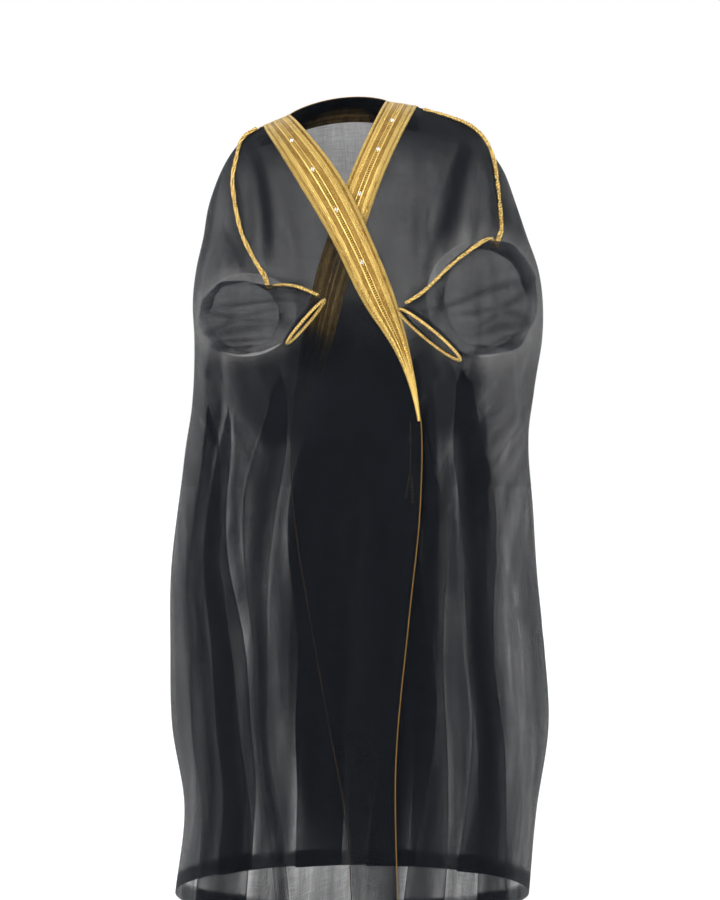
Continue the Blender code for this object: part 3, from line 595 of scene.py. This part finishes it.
skins, grids = {}, {}
for panel, node in PANEL_NODES.items():
    grid, outward, veil = hang(panel, panel_rows)
    quads = quads_of(*grid.shape[:2])
    grids[panel] = grid
    skins[panel] = skin(grid)
    density = layers_and_shade_of(panel, grid, outward, veil)
    points = grid
    if panel in ARMHOLES:
        hole = ARMHOLES[panel]
        reach = np.hypot((grid[..., 0] - hole.x) / hole.half_x, (grid[..., 2] - hole.z) / hole.half_z)
        density *= 0.55 + 0.45 * smooth((reach - 1.20) / 0.60)
        points, quads = cut_armhole(grid, quads, skins[panel], ARMHOLES[panel])
    if panel != "left":
        quads = quads[:, ::-1]
    piece = piece_from(node + "_cloth", points, quads, cloth_map(grid), {"layers_and_painted_shade": density},
                       black_cloth)
    used = np.zeros(len(piece.data.vertices), bool)
    used[np.unique(quads)] = True
    loose = bmesh.new()
    loose.from_mesh(piece.data)
    loose.verts.ensure_lookup_table()
    bmesh.ops.delete(loose, geom=[loose.verts[k] for k in np.flatnonzero(~used)], context="VERTS")
    loose.to_mesh(piece.data)
    loose.free()
    thicken(piece, cloth_thickness)
    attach(piece, "root")
    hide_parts(node)


# The sleeves: the outer corners of the cloth, which close round the bent forearms and end in an oval mouth.
# Each flares smoothly out of its front, and is given by sections: its outer and inner side in plan, its top
# and bottom, and how far its top leans towards the cuff's tip.
Cut = namedtuple("Cut", "outer_x outer_y inner_x inner_y top bottom lean")
SLEEVES = {
    "right": (
        Cut(-0.276, -0.118, -0.134, -0.168, -0.316, -0.440, 0.000),
        Cut(-0.252, -0.176, -0.124, -0.181, -0.324, -0.447, 0.004),
        Cut(-0.196, -0.222, -0.108, -0.190, -0.333, -0.440, 0.010),
        Cut(-0.140, -0.248, -0.096, -0.200, -0.340, -0.432, 0.020),
        Cut(-0.092, -0.262, -0.084, -0.210, -0.357, -0.429, 0.031),
    ),
    "left": (
        Cut(0.314, -0.122, 0.150, -0.172, -0.248, -0.442, 0.000),
        Cut(0.292, -0.184, 0.142, -0.188, -0.260, -0.447, -0.006),
        Cut(0.238, -0.228, 0.128, -0.196, -0.298, -0.450, -0.018),
        Cut(0.184, -0.254, 0.118, -0.204, -0.346, -0.453, -0.036),
        Cut(0.134, -0.270, 0.112, -0.212, -0.372, -0.457, -0.050),
    ),
}
# Rings with which a sleeve leaves its front: how much of the flare each still has, and how far out it stands
Leave = namedtuple("Leave", "flare out")
LEAVES = (Leave(1.0, 0.0), Leave(0.55, 0.002), Leave(0.2, 0.008), Leave(0.0, 0.018))
# Creases round a sleeve: the place round it in degrees, where each starts and stops along it, and its size
Gather = namedtuple("Gather", "turn first last swing width depth")
GATHERS = (
    Gather(300, 0.10, 0.80, 30, 0.20, 0.0045), Gather(262, 0.20, 0.95, -20, 0.16, -0.0035),
    Gather(60, 0.15, 0.70, 40, 0.18, 0.0040), Gather(120, 0.30, 0.98, -25, 0.15, -0.0030),
    Gather(20, 0.10, 0.60, -35, 0.16, -0.0040), Gather(185, 0.25, 0.90, 20, 0.15, 0.0030),
    Gather(335, 0.35, 0.99, 25, 0.12, -0.0030), Gather(90, 0.55, 1.00, 12, 0.10, 0.0025),
    Gather(5, 0.40, 0.98, -60, 0.09, 0.0030), Gather(350, 0.46, 0.92, 70, 0.07, -0.0030),
    Gather(28, 0.50, 1.00, 40, 0.08, -0.0030), Gather(320, 0.45, 0.96, -35, 0.07, 0.0030),
)
sleeve_sides, sleeve_steps = 96, 84


def sleeve_section(cut, turns):
    outer, inner = np.array((cut.outer_x, cut.outer_y)), np.array((cut.inner_x, cut.inner_y))
    middle, half = (outer + inner) / 2, (outer - inner) / 2
    z_middle, z_half = (cut.top + cut.bottom) / 2, (cut.top - cut.bottom) / 2
    plan = middle + half * np.cos(turns)[:, None] + np.outer(np.sin(turns), (cut.lean, 0.0))
    return np.column_stack((plan, z_middle + z_half * np.sin(turns)))


sleeve_grids, sleeve_skins = {}, {}
for panel, cuts in SLEEVES.items():
    hole = ARMHOLES[panel]
    turns = np.linspace(0.0, 2.0 * math.pi, sleeve_sides, endpoint=False)
    mirror = 1.0 if panel == "left" else -1.0
    rings = []
    for leave in LEAVES:
        x = hole.x + mirror * (hole.half_x + flare * leave.flare) * np.cos(turns)
        z = hole.z + (hole.half_z + flare * leave.flare) * np.sin(turns)
        hits = [skins[panel].ray_cast((a, -1.0, b), (0.0, 1.0, 0.0))[0] for a, b in zip(x, z)]
        y = np.array([hit[1] for hit in hits]) - leave.out
        rings.append(np.column_stack((x, y, z)))
    rings += [sleeve_section(cut, turns) for cut in cuts]
    grid = curve(range(len(rings)), np.array(rings), np.linspace(0.0, len(rings) - 1.0, sleeve_steps))
    share = np.linspace(0.0, 1.0, sleeve_steps)[:, None]
    lift = np.zeros(grid.shape[:2])
    for gather in GATHERS:
        along = np.clip((share - gather.first) / (gather.last - gather.first), 0.0, 1.0)
        centre = np.radians(gather.turn + gather.swing * (along - 0.5))
        off = np.angle(np.exp(1j * (turns - centre)))
        lift += gather.depth * np.exp(-(off / gather.width)**2) * np.sin(math.pi * along)
    normal = grid_normals(grid, closed=True)
    if np.sum(normal * (grid - grid.mean(axis=1, keepdims=True))) < 0:
        normal = -normal
    grid = grid + normal * lift[..., None]
    quads = quads_of(*grid.shape[:2], closed=True)
    if panel == "right":
        quads = quads[:, ::-1]
    round_uv = np.stack(np.broadcast_arrays(np.linspace(0.0, 0.36, sleeve_sides)[None, :],
                                            np.linspace(0.0, 0.28, sleeve_steps)[:, None]), axis=2)
    facing = normal[..., 1]
    seen = smooth((share - 0.42) / 0.20)
    past_hole = np.hypot((grid[..., 0] - hole.x) / hole.half_x, (grid[..., 2] - hole.z) / hole.half_z)
    sleeve_layers_and_crease_shade = 0.10 + (0.95 - 0.30 * smooth((past_hole - 0.92) / 0.25)) * smooth((0.35 - facing) / 0.7)
    sleeve_layers_and_crease_shade = sleeve_layers_and_crease_shade * seen + (0.14 + 0.46 * smooth((np.sin(turns) - 0.1) / 0.6)) * (1.0 - seen)
    # Painted shade along the gather creases: more layers where the cloth lifts or sinks there
    sleeve_layers_and_crease_shade += np.abs(lift) / 0.004 * 0.80
    sleeve_layers_and_crease_shade[-2:] = 2.0
    piece = piece_from(panel + "_sleeve_cloth", grid, quads, round_uv, {"layers_and_painted_shade": sleeve_layers_and_crease_shade}, black_cloth)
    thicken(piece, cloth_thickness)
    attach(piece, "root")
    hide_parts(panel + "_sleeve")
    sleeve_grids[panel] = grid
    sleeve_skins[panel] = skin(grid, closed=True)


# The gold bands: metal-thread embroidery worked in stripes along the edge of each front and round the back
# of the neck, with corded borders, couched ridges, a ladder down the middle and flat ground between.
ladder_across = 0.515
Stripe = namedtuple("Stripe", "across width height tone rope rungs")
STRIPES = (
    Stripe(0.045, 0.085, 0.0018, 0.95, 1.0, 0.0), Stripe(0.122, 0.028, 0.0008, 0.15, 0.0, 0.0),
    Stripe(0.170, 0.052, 0.0010, 0.90, 0.7, 0.0), Stripe(0.222, 0.026, 0.0009, 0.60, 0.0, 0.0),
    Stripe(0.268, 0.040, 0.0010, 0.95, 0.0, 0.4), Stripe(0.365, 0.135, 0.0003, 0.20, 0.0, 0.0),
    Stripe(0.452, 0.024, 0.0012, 0.90, 0.0, 0.0), Stripe(ladder_across, 0.080, 0.0008, 0.85, 0.0, 1.0),
    Stripe(0.582, 0.034, 0.0015, 1.00, 0.0, 0.0), Stripe(0.665, 0.115, 0.0003, 0.20, 0.0, 0.0),
    Stripe(0.742, 0.024, 0.0010, 0.80, 0.0, 0.0), Stripe(0.785, 0.028, 0.0010, 0.90, 0.0, 0.0),
    Stripe(0.832, 0.044, 0.0011, 0.95, 0.7, 0.0), Stripe(0.880, 0.024, 0.0009, 0.30, 0.0, 0.0),
    Stripe(0.950, 0.090, 0.0017, 0.95, 1.0, 0.0),
)
band_columns, band_rows = 96, 300
band_end = 8.6


def worked(across):
    """Height, tone, rope and rungs of the embroidery at shares of the band's width."""
    height = np.full_like(across, 0.00015)
    tone, rope, rungs = (np.full_like(across, value) for value in (0.0, 0.0, 0.0))
    for stripe in STRIPES:
        off = np.abs(across - stripe.across) / (stripe.width / 2)
        rise = stripe.height * np.sqrt(np.clip(1.0 - off**2.5, 0.0, 1.0))
        over = rise > height
        height = np.where(over, rise, height)
        tone, rope, rungs = (np.where(off < 0.92, value, kept) for value, kept in
                             ((stripe.tone, tone), (stripe.rope, rope), (stripe.rungs, rungs)))
    return height, tone, rope, rungs


twists_per_metre, rungs_per_metre, couched_per_metre, wraps_per_metre = 200.0, 240.0, 1300.0, 160.0


def gold_thread(name, deep, bright, roughness, embroidered):
    """Metal-wrapped thread. Embroidery reads its stripes' marks; cord and braid have only the wrapping."""
    gold, wire, shader = finish_named(name, Metallic=0.88, Roughness=roughness)
    tree = wire.tree
    at = wire.node("ShaderNodeUVMap", {"uv_map": "cloth"})
    parts = wire.node("ShaderNodeSeparateXYZ", {}, {0: at})
    across, along = parts, Wire(tree, parts.socket.node.outputs[1])
    glint = wire.noise(at, 700.0, 330.0, 2.0)
    wear = wire.noise(at, 60.0, 22.0, 3.0)
    if embroidered:
        tone, rope, rungs = (wire.node("ShaderNodeAttribute", {"attribute_name": mark}, output=2)
                             for mark in ("tone", "rope", "rungs"))
        twist = (across * 1.6 + along).wave(twists_per_metre)
        rung = along.wave(rungs_per_metre)
        couched = across.wave(couched_per_metre)
        relief = (rope * twist * 2.0 + rungs * rung * 2.4 + couched * 0.4 + glint * 1.4).bump(0.0009)
        # Tone of each stripe with real wear; the glint specks brighten the colour as painted glints
        tone_with_painted_shade_and_glints = tone * 0.95 + glint * 1.4 - 0.62 + (wear - 0.5) * 0.4
        # Darker in the troughs between the rope's twists and between the rungs: painted shade in the grooves
        tone_with_painted_shade_and_glints = tone_with_painted_shade_and_glints - rope * (1.0 - twist) * 0.75 - rungs * (1.0 - rung) * 1.0
    else:
        wrap = (across + along).wave(wraps_per_metre)
        relief = (wrap * 1.4 + glint * 0.8).bump(0.0006)
        # Darker in the troughs between the wraps: painted shade in the grooves; the glint specks are painted
        # glints
        tone_with_painted_shade_and_glints = 0.55 + (glint - 0.5) * 1.2 + (wear - 0.5) * 0.4 + (wrap - 0.5) * 0.9
    colour = tone_with_painted_shade_and_glints.kept(0.0, 1.0).blend(deep, bright)
    tree.links.new(colour.socket, shader.inputs["Base Color"])
    tree.links.new(relief.socket, shader.inputs["Normal"])
    rough = (roughness + (wear - 0.5) * 0.25 + (0.5 - glint) * 0.2).kept(0.15, 0.7)
    tree.links.new(rough.socket, shader.inputs["Roughness"])
    return gold


gold_embroidery = gold_thread("gold_embroidery", (0.26, 0.115, 0.014, 1.0), (1.00, 0.74, 0.24, 1.0),
                              0.30, True)
band_thickness = 0.0007
band_grids = {}


def faced(panel, rows, angles):
    """Points of a panel at the given rows and angles, and the cloth's own outward direction at each."""
    points, outward = surface(panel, rows, angles)
    normal = grid_normals(points)
    return points, normal * np.sign(np.sum(normal * outward, axis=2, keepdims=True))


def sew_band(name, points, normal, across, node):
    height, tone, rope, rungs = worked(across)
    grid = points + normal * (seam + band_thickness + height)[..., None]
    marks = {"tone": tone, "rope": rope, "rungs": rungs}
    quads = quads_of(*grid.shape[:2])
    flip = np.sum(grid_normals(grid) * normal) > 0
    band = piece_from(name, grid, quads if not flip else quads[:, ::-1], cloth_map(grid), marks,
                      gold_embroidery)
    thicken(band, band_thickness)
    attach(band, "root")
    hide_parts(node)
    return grid


for panel in ("right", "left"):
    rows = np.linspace(0.0, band_end, band_rows)
    wide = band_angle(panel, rows)
    first = edge_angles(panel, rows)
    sign = 1.0 if panel == "right" else -1.0
    shares = np.linspace(0.0, 1.0, band_columns)[None, :]
    points, normal = faced(panel, rows, first + sign * wide * shares)
    across = np.broadcast_to(shares, points.shape[:2])
    band_grids[panel] = sew_band(panel + "_front_embroidery", points, normal, across, panel + "_front_band")

neck_band_end, neck_band_ends_x = 1.2, (-0.177, 0.110)
rows = np.linspace(0.0, neck_band_end, 90)
middle, half = middle_and_half(worn(rows))
ends = [2.0 * math.pi - np.arccos((x - middle) / half) for x in neck_band_ends_x]
points, normal = faced("back", rows, ends[0] + (ends[1] - ends[0]) * np.linspace(0.0, 1.0, 260)[None, :])
beyond = np.abs(points[..., 0] - neck_middle) - neck_half
across = np.maximum((rows / neck_band_end)[:, None], np.clip(beyond / 0.055, 0.0, 1.0))
sew_band("back_neck_embroidery", points, normal, across, "back_neck_band")


# The cut stones: little clusters of four clear stones, set on the bands' ladders a hand's breadth apart.
# Each stone is a flat-topped cone with worn edges.
stone_half = 0.0021
SET_AT = {"right": (-0.066, -0.122, -0.196, -0.287), "left": (-0.026, -0.084, -0.165, -0.240)}
bpy.ops.mesh.primitive_cone_add(vertices=8, radius1=stone_half, radius2=stone_half * 0.55, depth=stone_half)
pattern = bpy.context.object
bpy.ops.object.mode_set(mode="EDIT")
bpy.ops.mesh.select_all(action="SELECT")
bpy.ops.mesh.bevel(offset=stone_half * 0.12, segments=1)
bpy.ops.object.mode_set(mode="OBJECT")
stone = np.array([tuple(v.co) for v in pattern.data.vertices])
stone_faces = [tuple(p.vertices) for p in pattern.data.polygons]
bpy.data.objects.remove(pattern)
clear_stone, wire, shader = finish_named("clear_stone", Base_Color=(0.86, 0.90, 0.95, 1.0), Metallic=0.55)
cut_light = wire.noise(wire.node("ShaderNodeTexCoord", output=3), 700.0, 700.0, 1.0)
wire.tree.links.new((0.04 + cut_light * 0.12).socket, shader.inputs["Roughness"])
for panel, heights in SET_AT.items():
    grid = band_grids[panel]
    column = int(ladder_across * (band_columns - 1))
    points, faces = [], []
    for z in heights:
        k = int(np.argmin(np.abs(grid[:, column, 2] - z)))
        centre = grid[k, column]
        down = grid[k + 2, column] - grid[k - 2, column]
        aside = grid[k, column + 3] - grid[k, column - 3]
        down, aside = down / np.linalg.norm(down), aside / np.linalg.norm(aside)
        out = np.cross(aside, down)
        out = out if out[1] < 0 else -out
        aside = np.cross(down, out)
        for a, d in ((0.0, -1.2), (0.0, 1.2), (-1.2, 0.0), (1.2, 0.0)):
            seat = centre + (aside * a + down * d) * stone_half + out * stone_half * 0.5
            faces += [tuple(v + len(points) for v in face) for face in stone_faces]
            points += [seat + aside * p[0] + down * p[1] + out * p[2] for p in stone]
    mesh = bpy.data.meshes.new(panel + "_band_stones")
    mesh.from_pydata([tuple(p) for p in points], [], faces)
    mesh.materials.append(clear_stone)
    stones = bpy.data.objects.new(panel + "_band_stones", mesh)
    bpy.context.collection.objects.link(stones)
    bpy.context.view_layer.objects.active = stones
    stones.select_set(True)
    bpy.ops.object.mode_set(mode="EDIT")
    bpy.ops.mesh.select_all(action="SELECT")
    bpy.ops.mesh.normals_make_consistent(inside=False)
    bpy.ops.object.mode_set(mode="OBJECT")
    stones.select_set(False)
    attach(stones, "root")


# The braids: flat plaits of three gold cords over the shoulder seams and down the arms to the cuffs, and a
# twisted gold cord round each sleeve's mouth.
gold_braid = gold_thread("gold_braid", (0.20, 0.085, 0.010, 1.0), (1.00, 0.74, 0.26, 1.0), 0.30, False)
braid_strands, braid_over_cloth, cuff_cord_beyond = 3, 0.0036, 0.0030
ROUTES = {
    "right": ((-0.180, -0.030), (-0.203, -0.048), (-0.212, -0.090), (-0.217, -0.134), (-0.214, -0.170),
              (-0.200, -0.226), (-0.178, -0.276), (-0.160, -0.306)),
    "left": ((0.118, 0.000), (0.165, -0.012), (0.207, -0.030), (0.232, -0.060), (0.240, -0.082),
             (0.248, -0.130), (0.252, -0.185), (0.251, -0.228)),
}
OVER = {
    "right": ((-0.152, -0.176), (-0.134, -0.205), (-0.098, -0.224), (-0.067, -0.233)),
    "left": ((0.240, -0.125), (0.232, -0.147), (0.211, -0.186), (0.165, -0.212), (0.115, -0.229),
             (0.083, -0.238)),
}


def lengths(line):
    """The length along a line to each of its points."""
    return np.concatenate(((0.0,), np.cumsum(np.linalg.norm(np.diff(line, axis=0), axis=1))))


def through(points, count):
    """Points on a smooth curve through a few given ones."""
    points = np.asarray(points, float)
    knots = lengths(points)
    return curve(knots, points, np.linspace(0.0, knots[-1], count))


def unit(vectors):
    return vectors / np.maximum(np.linalg.norm(vectors, axis=-1, keepdims=True), 1e-9)


def eased(values, times):
    values = values.copy()
    for _ in range(times):
        values[1:-1] = (values[:-2] + 2.0 * values[1:-1] + values[2:]) / 4.0
    return values


def aside_and_rise(line, up, closed):
    """Two directions square to a line at each of its points: one aside, and one that rises as `up` does."""
    along = np.roll(line, -1, axis=0) - np.roll(line, 1, axis=0) if closed else np.gradient(line, axis=0)
    across = unit(np.cross(along, up))
    return across, unit(np.cross(across, along))


def tubes(name, lines, ups, radius, material, sides=7, closed=False):
    """Round cords along lines, joined in one piece, with their ends closed."""
    points, quads, uv, start = [], [], [], 0
    turns = np.linspace(0.0, 2.0 * math.pi, sides, endpoint=False)
    for line, up in zip(lines, ups):
        across, rise = aside_and_rise(line, up, closed)
        ring = line[:, None] + radius * (across[:, None] * np.cos(turns)[:, None]
                                         + rise[:, None] * np.sin(turns)[:, None])
        count = len(line)
        side = quads_of(count, sides, closed=True) + start
        if closed:
            c = np.arange(sides)
            d = (c + 1) % sides
            last = (count - 1) * sides
            side = np.vstack((side, np.column_stack((last + c, last + d, d, c)) + start))
        quads.append(side)
        points.append(ring.reshape(-1, 3))
        round_it = np.stack(np.broadcast_arrays(turns[None, :] * 0.001, lengths(line)[:, None]), axis=2)
        uv.append(round_it.reshape(-1, 2))
        start += count * sides
    thing = piece_from(name, np.vstack(points), np.vstack(quads), np.vstack(uv), None, material)
    shape = bmesh.new()
    shape.from_mesh(thing.data)
    bmesh.ops.holes_fill(shape, edges=[e for e in shape.edges if e.is_boundary], sides=0)
    bmesh.ops.recalc_face_normals(shape, faces=shape.faces[:])
    shape.to_mesh(thing.data)
    shape.free()
    thing.data.shade_smooth()
    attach(thing, "root")
    return thing


def corded(name, line, up, strands, swing, radius, pitch, plaited=False, closed=False, sides=7,
           material=gold_braid):
    """A cord of strands that twist round a line, or a flat plait of strands that cross over each other."""
    length = lengths(line)
    if closed:
        whole = length[-1] + np.linalg.norm(line[0] - line[-1])
        pitch = whole / round(whole / pitch)
    across, rise = aside_and_rise(line, up, closed)
    lines = []
    for k in range(strands):
        phase = 2.0 * math.pi * (length / pitch + k / strands)
        aside, lift = (np.sin(phase), np.sin(2.0 * phase)) if plaited else (np.cos(phase), np.sin(phase))
        lines.append(line + across * (swing[0] * aside)[:, None] + rise * (swing[1] * lift)[:, None])
    return tubes(name, lines, [rise] * strands, radius, material, sides, closed)


for panel, route in ROUTES.items():
    places = []
    for x, z in through(route, 260):
        point, normal = skins[panel].ray_cast((x, -1.0, z), (0.0, 1.0, 0.0))[:2]
        if point is None:
            point, normal = skins[panel].find_nearest((x, 0.0, z))[:2]
        places.append((*point, *(normal if normal.y < 0 else -normal)))
    over = through(OVER[panel], 150)
    start = np.array(places[-1][:3])
    land = np.array(sleeve_skins[panel].ray_cast((*over[0], 1.0), (0.0, 0.0, -1.0))[0])
    away = np.array((0.0, -0.7071, 0.7071))
    for share in np.linspace(0.0, 1.0, 22)[1:-1]:
        places.append((*(start + (land - start) * share + away * 0.004 * math.sin(math.pi * share)), *away))
    for x, y in over:
        point, normal = sleeve_skins[panel].ray_cast((x, y, 1.0), (0.0, 0.0, -1.0))[:2]
        if point is not None:
            places.append((*point, *(normal if normal.z > 0 else -normal)))
    places = np.array(places)
    up = unit(eased(places[:, 3:], 60))
    line = eased(places[:, :3] + up * braid_over_cloth, 40)
    fine = through(np.hstack((line, up)), 520)
    braid = corded(panel + "_shoulder_plait", fine[:, :3], unit(fine[:, 3:]), braid_strands,
                   (0.0028, 0.0012), 0.0016, 0.0170, plaited=True)
    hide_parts(panel + "_shoulder_braid")

    mouth = sleeve_grids[panel][-1]
    inward = sleeve_grids[panel][-2]
    ring = through(np.vstack((mouth, mouth[:1])), 361)[:-1]
    beyond = unit((mouth - inward).mean(axis=0))
    normal = np.cross(np.roll(ring, -1, axis=0) - np.roll(ring, 1, axis=0), beyond)
    braid = corded(panel + "_cuff_cord", ring + beyond * cuff_cord_beyond, unit(normal), braid_strands,
                   (0.0013, 0.0013), 0.0015, 0.0120, closed=True)
    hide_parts(panel + "_cuff_braid")


# The edge cords: a thin, dull, twisted gold cord sewn along the edge of each front, from its band's point to
# the hem.
old_gold = gold_thread("old_gold_cord", (0.10, 0.05, 0.010, 1.0), (0.42, 0.25, 0.075, 1.0), 0.42, False)
edge_cord_beside = 0.0018
for panel in ("right", "left"):
    grid = grids[panel]
    from_row = int(np.searchsorted(panel_rows, band_end)) - 1
    edge = grid[from_row:, 0]
    inwards = unit(grid[from_row:, 1] - edge)
    places = eased(edge - inwards * edge_cord_beside, 3)
    fine = through(places, 1300)
    cord = corded(panel + "_edge_twist", fine, np.broadcast_to((0.0, -1.0, 0.0), fine.shape), 2,
                  (0.00055, 0.00055), 0.00060, 0.0048, sides=6, material=old_gold)
    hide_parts(panel + "_edge_cord")


# The tie: one thin gold string that hangs from the tip of the right front's band, through a small bead, to a
# knot with two tassels. It hangs just inside the front, so it shows only dimly through the sheer cloth.
def centre_of(node):
    low, high = (np.array(corner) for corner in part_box(node))
    return (low + high) / 2, low, high


upper, _, upper_high = centre_of("tie_string_upper")
lower, lower_low, _ = centre_of("tie_string_lower")
top = np.array((upper[0], upper[1], upper_high[2]))
knot = np.array((lower[0], lower[1], lower_low[2]))
string = bpy.data.curves.new("tie_string", "CURVE")
string.dimensions = "3D"
string.bevel_depth = 0.0010
string.bevel_resolution = 3
string.use_fill_caps = True
run = string.splines.new("POLY")
places = [top + (knot - top) * share for share in np.linspace(0.0, 1.0, 24)]
run.points.add(len(places) - 1)
for place, point in zip(run.points, places):
    place.co = (*point, 1.0)
tie_string = bpy.data.objects.new("tie_string", string)
bpy.context.collection.objects.link(tie_string)
string.materials.append(gold_braid)
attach(tie_string, "root")
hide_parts("tie_string_upper", "tie_string_lower")

bead_at = centre_of("tie_bead")[0]
bpy.ops.mesh.primitive_uv_sphere_add(segments=20, ring_count=12, radius=0.0036, location=tuple(bead_at))
bead = bpy.context.object
bead.name = "tie_bead_wrapped"
bpy.ops.object.mode_set(mode="EDIT")
bpy.ops.mesh.select_all(action="SELECT")
bpy.ops.transform.resize(value=(1.0, 1.0, 1.25), center_override=tuple(bead_at))
bpy.ops.object.mode_set(mode="OBJECT")
bpy.ops.object.transform_apply(location=True, rotation=True, scale=True)
bpy.ops.object.shade_smooth()
bead.data.uv_layers[0].name = "cloth"
bead.data.materials.append(gold_braid)
bead.select_set(False)
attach(bead, "root")
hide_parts("tie_bead")

tassel_threads, thread_turn, thread_radius = 26, 2.399, 0.00032
binding_turns, binding_points, binding_radius = 5.0, 90, 0.0019
rng = np.random.default_rng(11)
for number in (1, 2):
    node = f"tie_tassel_{number}"
    middle, low, high = centre_of(node)
    head = np.array((knot[0] + (-0.0015 if number == 1 else 0.0015), knot[1], high[2]))
    foot = np.array((middle[0] * 2 - head[0], middle[1] * 2 - head[1], low[2]))
    lines = []
    for k in range(tassel_threads):
        turn, out = k * thread_turn, math.sqrt((k + 0.5) / tassel_threads)
        aside = np.array((math.cos(turn), math.sin(turn), 0.0)) * out
        share = np.linspace(0.0, 1.0, 14)
        spread = 0.0009 + 0.0016 * smooth(share / 0.25) - 0.0010 * np.exp(-((share - 0.22) / 0.05)**2)
        end = 1.0 - 0.05 * rng.random()
        lines.append(head + (foot - head) * (share * end)[:, None] + aside * spread[:, None])
    binding = np.linspace(0.0, binding_turns * 2.0 * math.pi, binding_points)
    waist = head + (foot - head) * (0.19 + 0.05 * np.linspace(0, 1, binding_points))[:, None]
    circle = np.column_stack((np.cos(binding), np.sin(binding), np.zeros(binding_points)))
    lines.append(waist + circle * binding_radius)
    ups = [np.broadcast_to((0.0, 1.0, 0.02), line.shape) for line in lines]
    tassel = tubes(f"tie_tassel_{number}_threads", lines, ups, thread_radius, gold_braid, sides=5)
    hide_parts(node)


# The cut: each panel flares from the shoulder to the hem, and each sleeve is a short tube, so their areas
# are less than width times length. The bands, stones and braids lie on the cloth that they are sewn to.
Sheet = namedtuple("Sheet", "piece width length area trimmings")


# The floor and light: a plain pale floor as wide as the eye can see, under an even white sky, as in a
# photographer's studio, with one soft light from the upper left and a weaker one from the right.
floor_size, floor_level = 80.0, -1.47
bpy.ops.mesh.primitive_plane_add(size=floor_size, location=(0.0, 0.0, floor_level))
floor = bpy.context.object
floor.name = "floor"
bpy.ops.object.transform_apply(location=True, rotation=True, scale=True)
floor.select_set(False)
pale, wire, shader = finish_named("pale_floor", Roughness=0.85, Base_Color=(0.90, 0.90, 0.90, 1.0),
                                  Emission_Color=(1.0, 1.0, 1.0, 1.0), Emission_Strength=0.22)
floor.data.materials.append(pale)
sky = bpy.data.worlds.new("soft_room")
bpy.context.scene.world = sky
sky.use_nodes = True
sky.node_tree.nodes["Background"].inputs["Strength"].default_value = 1.0
sky.node_tree.nodes["Background"].inputs["Color"].default_value = (1.0, 1.0, 1.0, 1.0)


def softbox(name, place, aim, size, power):
    light = bpy.data.lights.new(name, "AREA")
    light.shape = "DISK"
    light.size = size
    light.energy = power
    box = bpy.data.objects.new(name, light)
    bpy.context.collection.objects.link(box)
    box.location = place
    box.rotation_euler = (Vector(aim) - Vector(place)).to_track_quat("-Z", "Y").to_euler()


softbox("key", (-1.7, -2.9, 1.3), (0.0, 0.0, -0.4), 0.9, 80.0)
softbox("fill", (2.4, -2.4, 0.2), (0.0, 0.0, -0.6), 1.6, 30.0)
